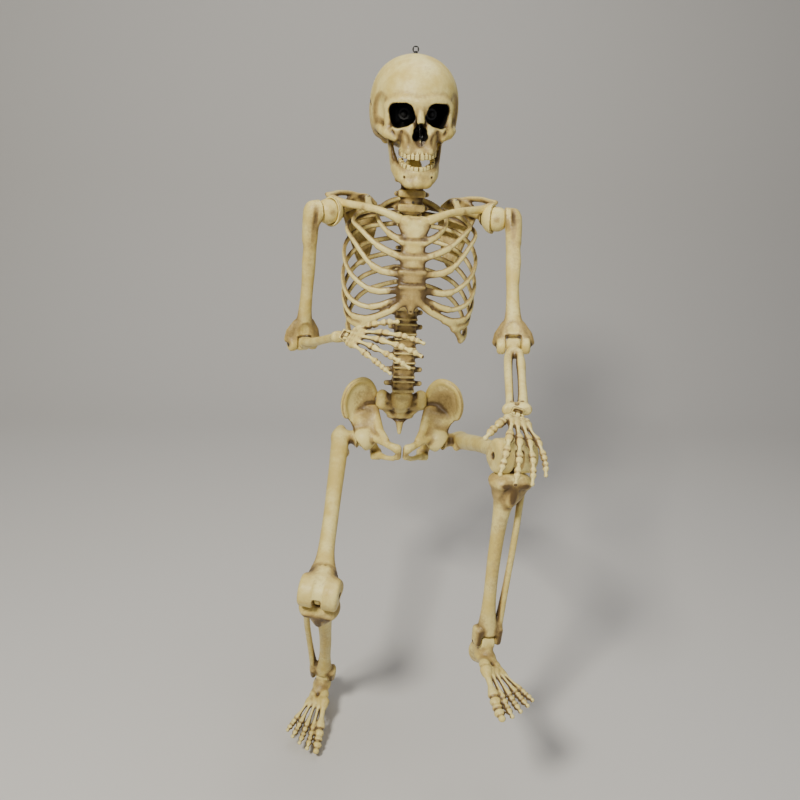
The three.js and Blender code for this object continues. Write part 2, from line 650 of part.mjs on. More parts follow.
// ---------------------------------------------------------------- assembly
const figure = new THREE.Group();
const screwHead = (at, r = 2.6) => rod(at, [at[0], at[1] - 1.6, at[2]], r, r - 0.5, 10);
const screwTop = (at, r = 2.6) => rod(at, [at[0], at[1], at[2] + 1.6], r, r - 0.5, 10);

add(figure, 'sacrum', sacrum());
const trunk = joint(figure, 'trunk', [0, 0, 0], 'x', -LEAN_BACK);
trunk.rotation.y = rad(LEAN_LEFT);
add(trunk, 'lumbar_spine', lumbarSpine());
add(trunk, 'rib_cage_back', ribCageBack());
add(trunk, 'rib_cage_front', ribCageFront());
add(trunk, 'neck_vertebrae', neckVertebrae());
add(trunk, 'neck_screw', screwHead([2, NECK.y - 15.4, 492]), steel);

for (const [side, q] of [['right', -1], ['left', 1]]) {
  add(figure, `hip_bone_${side}`, hipBone(q));
  add(trunk, `clavicle_${side}`, clavicle(q));
  add(trunk, `clavicle_screw_${side}`, screwTop([q * 80, 13, 499.6]), steel);
  add(trunk, `scapula_${side}`, scapula(q));

  const arm = ARM_POSE[side];
  const turn = joint(trunk, `shoulder_turn_${side}.z`,
    [q * SHOULDER.x, SHOULDER.y, SHOULDER.z], 'z', -q * arm.turn);
  add(turn, `shoulder_collar_${side}`, shoulderCollar(q));
  const lift = joint(turn, `shoulder_lift_${side}.y`, [0, 0, 0], 'y', -q * arm.lift);
  add(lift, `shoulder_ball_${side}`, shoulderBall(q));
  const swing = joint(lift, `arm_swing_${side}.x`, [0, 0, 0], 'x', -arm.swing);
  add(swing, `humerus_${side}`, humerus(q));
  add(swing, `elbow_pin_${side}`, elbowPin(q), steel);
  const elbow = joint(swing, `elbow_bend_${side}.x`, [q * ARM_OUT, 0, -UPPER_ARM], 'x', -arm.elbow);
  add(elbow, `forearm_${side}`, forearm(q));
  const twist = joint(elbow, `wrist_twist_${side}.z`, [0, 0, -FOREARM], 'z', q * arm.twist);
  add(twist, `wrist_knuckle_${side}`, wristKnuckle());
  const bend = joint(twist, `wrist_bend_${side}.x`, [0, 0, 0], 'x', arm.bend);
  add(bend, `hand_${side}`, hand(q));

  const leg = LEG_POSE[side];
  const hip = joint(figure, `hip_swing_${side}.x`, [q * HIP.x, HIP.y, HIP.z], 'x', -leg.swing);
  add(hip, `hip_ball_${side}`, hipBall());
  const spread = joint(hip, `hip_spread_${side}.y`, [0, 0, 0], 'y', -q * leg.spread);
  add(spread, `femur_${side}`, femur(q));
  add(spread, `knee_pin_${side}`, kneePin(), steel);
  const knee = joint(spread, `knee_bend_${side}.x`, [0, 0, -THIGH], 'x', leg.knee);
  add(knee, `shin_${side}`, shin(q));
  add(knee, `ankle_pin_${side}`, anklePin(), steel);
  const ankle = joint(knee, `ankle_bend_${side}.x`, [0, 0, -SHANK], 'x', -leg.ankle);
  add(ankle, `foot_${side}`, foot(q));
}

const neck = joint(trunk, 'neck_turn.z', [0, NECK.y, NECK.nod], 'z', NECK.turn);
const pivotFoot = NECK.top - NECK.nod;
add(neck, 'neck_pivot', union(
  rod([0, 0, pivotFoot + GAP], [0, 0, -14], 17, 15, 10),
  cut(
    union(block([0, 0, -8], [21, 14, 14]), pinX([0, 0, 0], 8, 10.5)),
    pinX([0, 0, 0], PIN_HOLE, 30),
  ),
));
const head = joint(neck, 'head_nod.x', [0, 0, 0], 'x', LEAN_BACK);
head.rotation.y = rad(-NECK.tilt);
const skull = skullWhole();
add(head, 'skull_face', skull.intersect(block(FACE_SIDE, [400, 400, 400])));
add(head, 'skull_rear', skull.intersect(block(REAR_SIDE, [400, 400, 400])));
add(head, 'skull_pin', pinX([0, 0, 0], PIN, 16.5, 12), steel);
add(head, 'hang_loop', hangLoop(), black);
for (const [side, q] of [['right', -1], ['left', 1]]) {
  add(head, `eye_insert_${side}`, eyeInsert(q), black);
  add(head, `jaw_pin_${side}`, pinX([q * (JAW.x + 1), JAW.y, JAW.z], JAW.r, 6, 12), steel);
}
const mouth = joint(head, 'jaw_open.x', [0, JAW.y, JAW.z], 'x', 0);
const jawBone = new THREE.Group();
jawBone.position.set(0, -JAW.y, -JAW.z);
mouth.add(jawBone);
add(jawBone, 'jaw', jaw());

export default figure;
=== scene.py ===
"""A life-size posable plastic skeleton, sitting down: the looks built round its packed joints.

Every bone is modelled like clay, as a distance field on a grid, in millimetres and in the
bone's own frame, which hangs between the joints at its two ends.  The field is skinned
with quads, and tells how deep in a hollow each point lies, which is where the brown
antique wash has stayed on the ivory plastic.
"""

import json
import math

import bpy
import numpy as np
from mathutils import Matrix, Vector


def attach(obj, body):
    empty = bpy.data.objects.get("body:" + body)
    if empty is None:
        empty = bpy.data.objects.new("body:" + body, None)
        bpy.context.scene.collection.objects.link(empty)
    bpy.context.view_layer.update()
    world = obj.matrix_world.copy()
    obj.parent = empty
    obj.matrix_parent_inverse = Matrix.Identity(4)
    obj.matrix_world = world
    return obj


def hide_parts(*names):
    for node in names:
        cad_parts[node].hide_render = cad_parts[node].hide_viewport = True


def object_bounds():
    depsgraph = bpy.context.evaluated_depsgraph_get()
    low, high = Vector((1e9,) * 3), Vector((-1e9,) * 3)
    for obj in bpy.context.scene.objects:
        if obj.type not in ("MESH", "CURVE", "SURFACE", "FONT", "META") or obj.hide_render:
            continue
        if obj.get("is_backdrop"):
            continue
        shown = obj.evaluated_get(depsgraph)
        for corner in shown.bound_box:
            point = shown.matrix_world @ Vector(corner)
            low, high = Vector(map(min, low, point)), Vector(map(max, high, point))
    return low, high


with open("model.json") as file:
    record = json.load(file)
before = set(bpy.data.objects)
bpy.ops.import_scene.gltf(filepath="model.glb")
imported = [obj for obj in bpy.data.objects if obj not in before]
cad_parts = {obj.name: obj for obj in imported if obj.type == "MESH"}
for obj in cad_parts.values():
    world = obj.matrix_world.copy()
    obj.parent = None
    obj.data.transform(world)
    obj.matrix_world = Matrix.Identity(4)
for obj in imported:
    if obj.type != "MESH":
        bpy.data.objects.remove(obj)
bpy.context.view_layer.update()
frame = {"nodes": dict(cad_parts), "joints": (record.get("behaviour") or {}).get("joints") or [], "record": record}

MM = 0.001
GAP = 0.4  # clearance between neighbouring pieces
CELL = 2.0  # grid spacing of a large bone
FINE = 1.5  # grid spacing of hands, feet and jaw
REACH = 12.0  # how far from its surface a shape's distance is worked out
EDGE_DEPTH = 5.0  # an edge is where this far under the surface is nearly outside again
BLACK_REACH = 2.4  # black paint ends this far from a painted hollow
BLACK_FADE = 1.4
PIN_HOLE = 3.6
KNEE_PIN_HOLE = 4.6
SIDES = (("right", -1), ("left", 1))
X_AXIS, Y_AXIS, Z_AXIS = (1, 0, 0), (0, 1, 0), (0, 0, 1)


# ---------------------------------------------------------------- modelling clay
def unit(vector):
    vector = np.asarray(vector, float)
    return vector / np.linalg.norm(vector)


def smooth_min(a, b, blend):
    """The lower of two fields, with a fillet about `blend` wide where they meet."""
    if blend <= 0:
        return np.minimum(a, b)
    overlap = np.clip(blend - np.abs(a - b), 0, None) / blend
    return np.minimum(a, b) - overlap * overlap * blend / 4


def smooth_curve(points, steps):
    """Points, each with any numbers that go with it, joined by a Catmull-Rom curve."""
    points = np.array(points, float)
    padded = np.vstack([2 * points[0] - points[1], points, 2 * points[-1] - points[-2]])
    out = []
    for i in range(len(points) - 1):
        p0, p1, p2, p3 = padded[i : i + 4]
        for t in np.arange(steps) / steps:
            out.append(
                p1
                + 0.5 * t * (p2 - p0 + t * (2 * p0 - 5 * p1 + 4 * p2 - p3))
                + 0.5 * t**3 * (3 * p1 - p0 - 3 * p2 + p3)
            )
    return np.array(out + [points[-1]])


class Shape:
    """A distance function and the box that holds it."""

    def __init__(self, distance, low, high):
        self.distance = distance
        self.low = np.asarray(low, float)
        self.high = np.asarray(high, float)


def blob(centre, radii, axes=np.eye(3)):
    """An ellipsoid.  The rows of `axes` are its own directions."""
    centre = np.array(centre, float)
    radii = np.ones(3) * radii
    axes = np.array(axes, float)

    def distance(p):
        q = (p - centre) @ axes.T
        k0 = np.linalg.norm(q / radii, axis=-1)
        k1 = np.linalg.norm(q / radii**2, axis=-1)
        return np.where(k1 > 1e-6, k0 * (k0 - 1) / np.maximum(k1, 1e-6), -radii.min())

    reach = np.max(radii)
    return Shape(distance, centre - reach, centre + reach)


def brick(centre, half, rounding=2.0, axes=np.eye(3)):
    """A box with rounded edges."""
    centre = np.array(centre, float)
    half = np.array(half, float)
    axes = np.array(axes, float)

    def distance(p):
        q = np.abs((p - centre) @ axes.T) - (half - rounding)
        outside = np.linalg.norm(np.maximum(q, 0), axis=-1)
        return outside + np.minimum(q.max(axis=-1), 0) - rounding

    reach = np.abs(axes.T) @ half
    return Shape(distance, centre - reach, centre + reach)


def drum(centre, radius, half, rounding=2.0):
    """A disc whose axis is X."""
    centre = np.array(centre, float)

    def distance(p):
        q = p - centre
        out = np.hypot(q[..., 1], q[..., 2]) - (radius - rounding)
        along = np.abs(q[..., 0]) - (half - rounding)
        outside = np.hypot(np.maximum(out, 0), np.maximum(along, 0))
        return outside + np.minimum(np.maximum(out, along), 0) - rounding

    reach = np.array([half, radius, radius])
    return Shape(distance, centre - reach, centre + reach)


def limb(points, across=X_AXIS):
    """A bar through points [x, y, z, r] or [x, y, z, half-width along `across`, half-depth]."""
    points = np.array([[*p, p[3]] if len(p) == 4 else p for p in points], float)
    across = np.array(across, float)

    def distance(p):
        field = np.full(p.shape[:-1], REACH * 2)
        for a, b in zip(points[:-1], points[1:]):
            run = b[:3] - a[:3]
            length = np.linalg.norm(run)
            along = run / length
            sideways = across if abs(along @ unit(across)) < 0.95 else np.roll(across, 1)
            depth = unit(np.cross(along, sideways))
            side = np.cross(depth, along)
            t = np.clip((p - a[:3]) @ along / length, 0, 1)
            wide = a[3] + (b[3] - a[3]) * t
            deep = a[4] + (b[4] - a[4]) * t
            thin = np.minimum(wide, deep)
            off = p - a[:3] - t[..., None] * run
            scaled = np.sqrt(
                (off @ side / wide) ** 2 + (off @ depth / deep) ** 2 + (off @ along / thin) ** 2
            )
            field = np.minimum(field, (scaled - 1) * thin)
        return field

    reach = points[:, 3:].max(axis=1)[:, None]
    return Shape(distance, (points[:, :3] - reach).min(axis=0), (points[:, :3] + reach).max(axis=0))


def sheet(outline, depth_at, half):
    """A curved plate: an outline of X and Z, bent to Y = depth_at(x, z), `half` each way thick."""
    outline = np.array(outline, float)
    slant = 0.85  # a distance along Y is this much of one square to the plate
    rim = 3.0
    spare = 14

    def distance(p):
        x, y, z = p[..., 0], p[..., 1], p[..., 2]
        edge = np.full(x.shape, 1e9)
        inside = np.zeros(x.shape, bool)
        for (ax, az), (bx, bz) in zip(outline, np.roll(outline, -1, axis=0)):
            dx, dz = bx - ax, bz - az
            t = np.clip(((x - ax) * dx + (z - az) * dz) / (dx**2 + dz**2), 0, 1)
            edge = np.minimum(edge, np.hypot(x - ax - t * dx, z - az - t * dz))
            crosses = (az > z) != (bz > z)
            rise = np.where(dz == 0, 1.0, dz)
            inside ^= crosses & (x < ax + (z - az) * dx / rise)
        edge = np.where(inside, -edge, edge)
        off = np.abs(y - depth_at(x, z)) * slant - half
        return -smooth_min(-edge, -off, rim)

    low, high = outline.min(axis=0), outline.max(axis=0)
    middle = (low[0] + high[0]) / 2
    corners = np.array([depth_at(x, z) for x in (low[0], high[0], middle) for z in (low[1], high[1])])
    return Shape(
        distance,
        [low[0], corners.min() - half - spare, low[1]],
        [high[0], corners.max() + half + spare, high[1]],
    )


def neighbours(grid, axis, others=slice(None)):
    """The grid without its last layer along an axis, and without its first."""
    behind = [others] * 3
    ahead = [others] * 3
    behind[axis] = slice(0, -1)
    ahead[axis] = slice(1, None)
    return grid[tuple(behind)], grid[tuple(ahead)]


class Clay:
    """A solid built up on a grid: `field` is the distance to its surface, below 0 inside."""

    def __init__(self, low, high, cell=CELL):
        self.cell = cell
        self.low = np.minimum(low, high) - 2.0 * cell
        count = np.ceil((np.maximum(low, high) + 2 * cell - self.low) / cell).astype(int) + 1
        self.field = np.full(count, REACH)
        self.dug = np.full(count, REACH)

    def window(self, shape):
        first = np.floor((shape.low - REACH - self.low) / self.cell).astype(int)
        last = np.ceil((shape.high + REACH - self.low) / self.cell).astype(int) + 1
        first = np.clip(first, 0, self.field.shape)
        last = np.clip(last, 0, self.field.shape)
        axes = [self.low[i] + self.cell * np.arange(first[i], last[i]) for i in range(3)]
        points = np.stack(np.meshgrid(*axes, indexing="ij"), axis=-1)
        return tuple(slice(a, b) for a, b in zip(first, last)), points

    def add(self, shape, blend=6.0):
        where, points = self.window(shape)
        if points.size:
            self.field[where] = smooth_min(self.field[where], shape.distance(points), blend)

    def dig(self, shape, blend=2.0, blacken=False):
        """Takes the shape away.  `blacken` marks the hollow as one that is painted black."""
        where, points = self.window(shape)
        if points.size:
            hollow = shape.distance(points)
            self.field[where] = -smooth_min(-self.field[where], hollow, blend)
            if blacken:
                self.dug[where] = np.minimum(self.dug[where], hollow)

    def bar(self, points, blend=6.0, across=X_AXIS):
        self.add(limb(points, across), blend)

    def groove(self, points, blend=2.0, across=X_AXIS, blacken=False):
        self.dig(limb(points, across), blend, blacken)

    def bore(self, centre, radius):
        """A hole for a pin along X."""
        self.dig(drum(centre, radius, 60, 0.5), 1)

    def sample(self, grid, points):
        place = np.clip((points - self.low) / self.cell, 0, np.array(grid.shape) - 1.001)
        base = place.astype(int)
        part = place - base
        total = np.zeros(len(points))
        for corner in np.ndindex(2, 2, 2):
            weight = np.prod(np.where(corner, part, 1 - part), axis=1)
            i, j, k = (base + corner).T
            total += weight * grid[i, j, k]
        return total

    def skin(self):
        """Corner points and quads of the surface, one point to each cell that it crosses."""
        field = self.field
        inside = field < 0
        cells = tuple(n - 1 for n in field.shape)
        total = np.zeros(cells + (3,))
        count = np.zeros(cells)
        for axis in range(3):
            a, b = neighbours(field, axis)
            crossed = (a < 0) != (b < 0)
            share = np.where(crossed, a / np.where(crossed, a - b, 1), 0)
            others = [i for i in range(3) if i != axis]
            for step in np.ndindex(2, 2):
                part = [slice(None)] * 3
                for other, s in zip(others, step):
                    part[other] = slice(s, s + cells[other])
                hit = crossed[tuple(part)]
                place = np.zeros(cells + (3,))
                place[..., axis] = share[tuple(part)]
                for other, s in zip(others, step):
                    place[..., other] = s
                total += place * hit[..., None]
                count += hit
        used = count > 0
        number = np.full(cells, -1)
        number[used] = np.arange(used.sum())
        places = total[used] / count[used][:, None]
        points = self.low + self.cell * (np.argwhere(used) + places)
        quads = []
        for axis in range(3):
            u, v = [(1, 2), (2, 0), (0, 1)][axis]
            a, b = neighbours(inside, axis, slice(1, -1))
            start = np.argwhere(a != b)
            outward = a[tuple(start.T)]
            shift = np.ones(3, int)
            shift[axis] = 0
            start += shift
            ring = []
            for du, dv in ((-1, -1), (0, -1), (0, 0), (-1, 0)):
                at = start.copy()
                at[:, u] += du
                at[:, v] += dv
                ring.append(number[tuple(at.T)])
            ring = np.array(ring).T
            ring[~outward] = ring[~outward][:, ::-1]
            quads.append(ring)
        return points, np.vstack(quads)


def surface_marks(clay, points, normals):
    """How deep in a hollow each point is, how sharp its edge is, and whether it is painted black."""
    hollow = np.zeros(len(points))
    for reach, weight in ((3.0, 0.35), (6.0, 0.4), (10.0, 0.25)):
        free = clay.sample(clay.field, points + normals * reach)
        hollow += weight * np.clip(1 - free / reach, 0, 1)
    solid = clay.sample(clay.field, points - normals * EDGE_DEPTH)
    edge = np.clip(1 + solid / EDGE_DEPTH, 0, 1)
    black = np.clip((BLACK_REACH - clay.sample(clay.dug, points)) / BLACK_FADE, 0, 1)
    return {"hollow": hollow, "edge": edge, "black": black}


def make_piece(name, clay, matrix, body, nodes=(), wash_and_shade=None, slot="bone_plastic"):
    """Skins the clay, places it by the bone's matrix, and ties it to its CAD body and nodes.

    An optional function gives extra darkening at each point: wash where the real one has a patch of it, and
    painted shade where a piece sits back in shadow or faces away from the light."""
    points, quads = clay.skin()
    mesh = bpy.data.meshes.new(name)
    mesh.from_pydata([], [], [])
    mesh.vertices.add(len(points))
    mesh.vertices.foreach_set("co", points.astype(np.float32).ravel())
    mesh.loops.add(quads.size)
    mesh.loops.foreach_set("vertex_index", quads.ravel().astype(np.int32))
    mesh.polygons.add(len(quads))
    mesh.polygons.foreach_set("loop_start", np.arange(0, quads.size, 4, dtype=np.int32))
    mesh.update(calc_edges=True)
    mesh.validate()
    mesh.shade_smooth()
    normals = np.zeros(len(mesh.vertices) * 3, np.float32)
    mesh.vertices.foreach_get("normal", normals)
    marks = surface_marks(clay, points, normals.reshape(-1, 3).astype(float))
    # extra darkening on top of the hollow mark: partly wash, partly painted shade
    if wash_and_shade:
        marks["hollow"] += wash_and_shade(points)
    for mark, values in marks.items():
        layer = mesh.attributes.new(mark, "FLOAT", "POINT")
        layer.data.foreach_set("value", values.astype(np.float32))
    mesh.transform(Matrix(matrix.tolist()))
    mesh.materials.append(MATERIALS[slot])
    piece = bpy.data.objects.new(name, mesh)
    bpy.context.scene.collection.objects.link(piece)
    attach(piece, body)
    if nodes:
        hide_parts(*nodes)
    return piece


def even_wash_and_shade(strength):
    """An even darkening all over a piece: partly extra wash, and partly painted shade for pieces that sit behind
    or under others.
    """
    return lambda points: np.full(len(points), strength)


# ---------------------------------------------------------------- materials
class Nodes:
    """Short ways to build a node tree."""

    def __init__(self, name):
        self.material = bpy.data.materials.new(name)
        self.material.use_nodes = True
        self.tree = self.material.node_tree
        self.shader = self.tree.nodes["Principled BSDF"]

    def plug(self, target, value):
        if isinstance(value, bpy.types.NodeSocket):
            self.tree.links.new(value, target)
        else:
            target.default_value = value

    def new(self, kind, inputs=None, **settings):
        node = self.tree.nodes.new(kind)
        for name, value in settings.items():
            setattr(node, name, value)
        for name, value in (inputs or {}).items():
            self.plug(node.inputs[name], value)
        return node

    def set(self, name, value):
        self.plug(self.shader.inputs[name], value)

    def noise(self, scale, detail, roughness):
        place = self.new("ShaderNodeTexCoord").outputs["Object"]
        inputs = {"Vector": place, "Scale": scale, "Detail": detail, "Roughness": roughness}
        return self.new("ShaderNodeTexNoise", inputs).outputs["Fac"]

    def mark(self, name):
        return self.new("ShaderNodeAttribute", attribute_name=name).outputs["Fac"]

    def math(self, operation, a, b):
        return self.new("ShaderNodeMath", {0: a, 1: b}, operation=operation).outputs[0]

    def stir(self, value, noise, amount):
        """The value, moved up and down by a noise about its middle."""
        return self.math("ADD", value, self.math("MULTIPLY", self.math("SUBTRACT", noise, 0.5), amount))

    def ramp(self, value, start, end):
        """0 below start and 1 above end, with a smooth rise between."""
        inputs = {"Value": value, "From Min": start, "From Max": end}
        return self.new("ShaderNodeMapRange", inputs, interpolation_type="SMOOTHSTEP").outputs["Result"]

    def mix(self, share, a, b):
        return self.new("ShaderNodeMix", {"Factor": share, 6: a, 7: b}, data_type="RGBA").outputs[2]

    def bump(self, height, distance, strength):
        inputs = {"Height": height, "Distance": distance, "Strength": strength}
        self.set("Normal", self.new("ShaderNodeBump", inputs).outputs["Normal"])


IVORY = (0.68, 0.52, 0.145, 1)
CREAM = (0.88, 0.75, 0.285, 1)
TAN = (0.36, 0.23, 0.075, 1)
BROWN = (0.09, 0.050, 0.017, 1)
BLACK = (0.006, 0.005, 0.004, 1)


def aged_bone():
    """Satin ivory plastic, with a brown wash left in its hollows and rubbed off its edges, and painted shade added
    on pieces that sit back in shadow.
    """
    n = Nodes("aged_bone")
    patches = n.noise(28.0, 4.0, 0.6)
    grain = n.noise(210.0, 4.0, 0.65)
    colour = n.mix(n.ramp(patches, 0.35, 0.68), IVORY, CREAM)
    colour = n.mix(n.ramp(n.mark("edge"), 0.10, 0.6), colour, CREAM)
    # the hollow mark with any extra darkening: wash in hollows, plus painted shade on pieces set back in shadow
    streaked = n.stir(n.stir(n.mark("hollow"), patches, 0.22), grain, 0.22)
    colour = n.mix(n.math("MULTIPLY", n.ramp(streaked, 0.04, 0.22), 0.8), colour, TAN)
    colour = n.mix(n.math("MULTIPLY", n.ramp(streaked, 0.18, 0.44), 0.93), colour, BROWN)
    colour = n.mix(n.mark("black"), colour, BLACK)
    n.set("Base Color", colour)
    n.set("Roughness", n.math("ADD", n.math("MULTIPLY", grain, 0.2), 0.3))
    n.set("Specular IOR Level", 0.45)
    pits = n.math("ADD", n.noise(420.0, 3.0, 0.6), n.math("MULTIPLY", n.noise(90.0, 3.0, 0.6), 1.6))
    n.bump(pits, 0.0011, 0.55)
    return n.material


def black_plastic():
    n = Nodes("black_plastic")
    scuffs = n.noise(160.0, 4.0, 0.6)
    n.set("Base Color", n.mix(scuffs, (0.004, 0.004, 0.004, 1), (0.02, 0.018, 0.016, 1)))
    n.set("Roughness", n.math("ADD", n.math("MULTIPLY", scuffs, 0.25), 0.35))
    n.bump(scuffs, 0.0003, 0.4)
    return n.material


def dark_steel():
    n = Nodes("dark_steel")
    wear = n.noise(300.0, 4.0, 0.6)
    n.set("Base Color", n.mix(wear, (0.07, 0.055, 0.04, 1), (0.28, 0.25, 0.21, 1)))
    n.set("Roughness", n.math("ADD", n.math("MULTIPLY", wear, 0.35), 0.25))
    n.set("Metallic", 0.9)
    n.bump(wear, 0.0002, 0.5)
    return n.material


MATERIALS = {
    "bone_plastic": aged_bone(),
    "black_plastic": black_plastic(),
    "dark_steel": dark_steel(),
}

# ---------------------------------------------------------------- bone frames
JOINTS = {joint["name"]: joint for joint in frame["joints"]}
HAND_BEND = {"right": 20.0, "left": -9.0}  # degrees, palm-ward, at rest
ANKLE_BEND = {"right": 24.4, "left": 5.5}  # degrees, toes up, at rest


def spot(name):
    return np.array(JOINTS[name]["pos_m"]) / MM


def axis(name):
    return unit(JOINTS[name]["axis"])


def span(start, end):
    """How far it is from one joint to the next."""
    return np.linalg.norm(spot(end) - spot(start))


def placed(origin, x, z):
    """The matrix of a frame in millimetres at `origin`, with the given X and Z directions."""
    matrix = np.eye(4)
    matrix[:3, 0], matrix[:3, 1], matrix[:3, 2] = x, np.cross(z, x), z
    matrix[:3, :3] *= MM
    matrix[:3, 3] = np.array(origin) * MM
    return matrix


def hanging(start, hinge, end):
    """A frame at the joint `start` that hangs along -Z towards the joint `end`, with X on `hinge`."""
    x = axis(hinge)
    run = spot(end) - spot(start)
    return placed(spot(start), x, -unit(run - run.dot(x) * x))


def tipped(matrix, degrees):
    """The same frame turned about its own X."""
    return matrix @ np.array(Matrix.Rotation(math.radians(degrees), 4, "X"))


TRUNK = placed(
    (0, 0, 0),
    unit(spot("shoulder_turn_left") - spot("shoulder_turn_right")),
    axis("shoulder_turn_left"),
)
PELVIS = placed((0, 0, 0), X_AXIS, Z_AXIS)


def in_trunk(name):
    """A joint's place in the trunk's own frame."""
    return TRUNK[:3, :3].T @ spot(name) / MM


# ---------------------------------------------------------------- arms
SHOULDER_BALL = 22.0
SOCKET = 6.0  # thickness of a ball socket's wall
LOOSE = 3 * GAP  # clearance round a ball
SEAM = 15.0  # from the ball's centre out to its flat face
ELBOW_TONGUE = 12.0
WRIST_R = 4.6


def arm_reach(side):
    """How far out the humerus lies, and the height of the elbow in its frame."""
    run = spot(f"elbow_bend_{side}") - spot(f"arm_swing_{side}")
    out = run.dot(axis(f"arm_swing_{side}"))
    return abs(out), -np.sqrt(run.dot(run) - out**2)


def shoulder_joint(side, q):
    turn_axis, lift_axis = axis(f"shoulder_turn_{side}"), axis(f"shoulder_lift_{side}")
    matrix = placed(spot(f"shoulder_turn_{side}"), np.cross(lift_axis, turn_axis), turn_axis)
    collar = Clay([-32, -32, -32], [32, 32, 32], FINE)
    collar.add(blob([0, 0, 0], SHOULDER_BALL + SOCKET))
    collar.dig(blob([0, 0, 0], SHOULDER_BALL + LOOSE), 1)
    slanted = [[1, -q * 0.25, 0], [q * 0.25, 1, 0], Z_AXIS]
    collar.dig(brick([q * 44, 0, 0], [50, 60, 60], 2, slanted), 1.5)
    make_piece(f"collar_{side}", collar, matrix, f"shoulder_collar_{side}", [f"shoulder_collar_{side}"])

    swing_axis = axis(f"arm_swing_{side}")
    matrix = placed(spot(f"shoulder_turn_{side}"), swing_axis, np.cross(swing_axis, lift_axis))
    ball = Clay([-24, -24, -24], [24, 24, 24], FINE)
    ball.add(blob([0, 0, 0], SHOULDER_BALL))
    ball.dig(brick([q * (SEAM + 50), 0, 0], [50, 60, 60], 1.0), 1.5)
    make_piece(f"ball_{side}", ball, matrix, f"shoulder_ball_{side}", [f"shoulder_ball_{side}"])


def humerus(side, q):
    out, end = arm_reach(side)
    x = q * out
    inner = q * (SEAM + GAP)
    clay = Clay([x - 44, -30, end - 20], [x + 44, 30, 26])
    clay.bar([[inner, 0, 0, 21], [q * 20, 0, 0, 20], [q * 28, 0, -2, 14]])
    clay.bar([[q * 33, -2, 10, 7.5, 9], [q * 34, -1, -14, 10, 12.5], [q * 32, 0, -50, 10.5, 12]], 7)
    clay.add(blob([q * 26, -13, -8], [5, 6, 15]), 6)
    shaft = [
        [x + q * 2, 0, 0, 14, 14], [x + q * 2, 0, -26, 13.5, 14], [x + q * 1, 0, -60, 12, 12.4],
        [x, -1, -105, 11.6, 12], [x, -1, -150, 11, 11.4], [x, 0, -190, 13, 11],
        [x, 0, -214, 18, 9.6], [x, 0, -231, 24, 9.4], [x, 0, end + 8, 28, 9.6],
    ]
    clay.bar(smooth_curve(shaft, 3), 8)
    clay.bar([[x + q * 8, -6, -62, 4], [x + q * 9, -5, -92, 5.5], [x + q * 6, -4, -128, 3]], 8)
    for s in (-1, 1):
        clay.add(drum([x + s * 20.3, 0, end], 13.6, 7.8, 5.5), 6)
        ridge = [[x + s * 17, 3, end + 42, 4], [x + s * 26, 5, end + 24, 6.5], [x + s * 30, 4, end + 9, 5.5]]
        clay.bar(ridge, 6)
        clay.groove([[x + s * 12, -14, end + 50, 3], [x + s * 14, -14, end + 26, 4]], 5)
    clay.dig(blob([x, -13, end + 29], [14, 7.5, 14]), 5)
    clay.dig(blob([x, 14, end + 31], [11, 8, 13]), 5)
    clay.groove([[q * 30, -19, 8, 1.6], [q * 30, -18.6, -20, 2], [q * 29, -16.4, -50, 1.4]], 5)
    half = ELBOW_TONGUE + GAP
    clay.dig(brick([x, 0, end - 10], [half, 60, 27.5], 2), 2)
    clay.dig(brick([inner - q * 50, 0, 20], [50, 60, 60], 0.5), 1)
    clay.bore([x, 0, end], PIN_HOLE)
    matrix = hanging(f"arm_swing_{side}", f"arm_swing_{side}", f"elbow_bend_{side}")
    make_piece(f"upper_arm_{side}", clay, matrix, f"upper_arm_{side}", [f"humerus_{side}"])


def forearm(side, q):
    end = -span(f"elbow_bend_{side}", f"wrist_bend_{side}")
    clay = Clay([-30, -20, end - 4], [30, 20, 16], FINE)
    clay.add(drum([0, 0, 0], 13.5, ELBOW_TONGUE, 5.5))
    clay.bar([[0, 0, -6, 10.4, 11], [0, 0, -20, 10.4, 10]], 3)
    ulna = [
        [-q * 5, 1, -23, 8.4, 8.8], [-q * 9, 1, -38, 7.5, 8.5], [-q * 10.4, 0, -80, 6.8, 7.2],
        [-q * 10.2, 0, -130, 6.4, 6.4], [-q * 10.2, 0, -170, 6.4, 6.6], [-q * 12, 1, end + 18, 8, 8],
    ]
    radius = [
        [q * 8, 0, -25, 8.6, 8.8], [q * 10, 0, -38, 6.6, 7], [q * 10.6, 1, -56, 8, 8],
        [q * 10.4, 2, -90, 6.8, 7], [q * 10.2, 1, -140, 7.2, 7], [q * 9, 0, -174, 8.6, 7.6],
        [q * 9, 0, end + 18, 11, 9],
    ]
    clay.bar(smooth_curve(ulna, 3), 5)
    clay.bar(smooth_curve(radius, 3), 5)
    clay.bar([[-9, 0, end + 22, 8], [9, 0, end + 22, 8]], 5)
    clay.add(brick([0, 0, end + 17], [18, 8.4, 4.6], 3), 4)
    for s in (-1, 1):
        clay.dig(blob([s * 8, -9.5, end + 27], [2.8, 4, 2.8]), 1)
        clay.add(blob([s * 18, 0, end + 16], [4.4, 6.5, 6]), 4)
    clay.groove([[0, -10, end + 34, 1.8], [0, -9.5, end + 18, 2.2]], 3)
    clay.bore([0, 0, 0], PIN_HOLE)
    matrix = hanging(f"elbow_bend_{side}", f"elbow_bend_{side}", f"wrist_bend_{side}")
    make_piece(f"forearm_bones_{side}", clay, matrix, f"forearm_{side}", [f"forearm_{side}"])


# Across the palm towards the thumb, start, degrees of splay, bone lengths and radius.
FINGERS = (
    dict(across=14, start=-14, splay=-30, lengths=(30, 27, 20), r=5.0),
    dict(across=11, start=-22, splay=-8, lengths=(54, 36, 23, 17), r=4.7),
    dict(across=3.5, start=-22, splay=-1, lengths=(56, 39, 26, 18), r=4.8),
    dict(across=-4.5, start=-22, splay=7, lengths=(51, 36, 24, 18), r=4.6),
    dict(across=-12, start=-21, splay=16, lengths=(46, 29, 17, 15), r=4.3),
)
CURLS = (0, 12, 14, 16)  # degrees that each bone of a finger bends from the one before


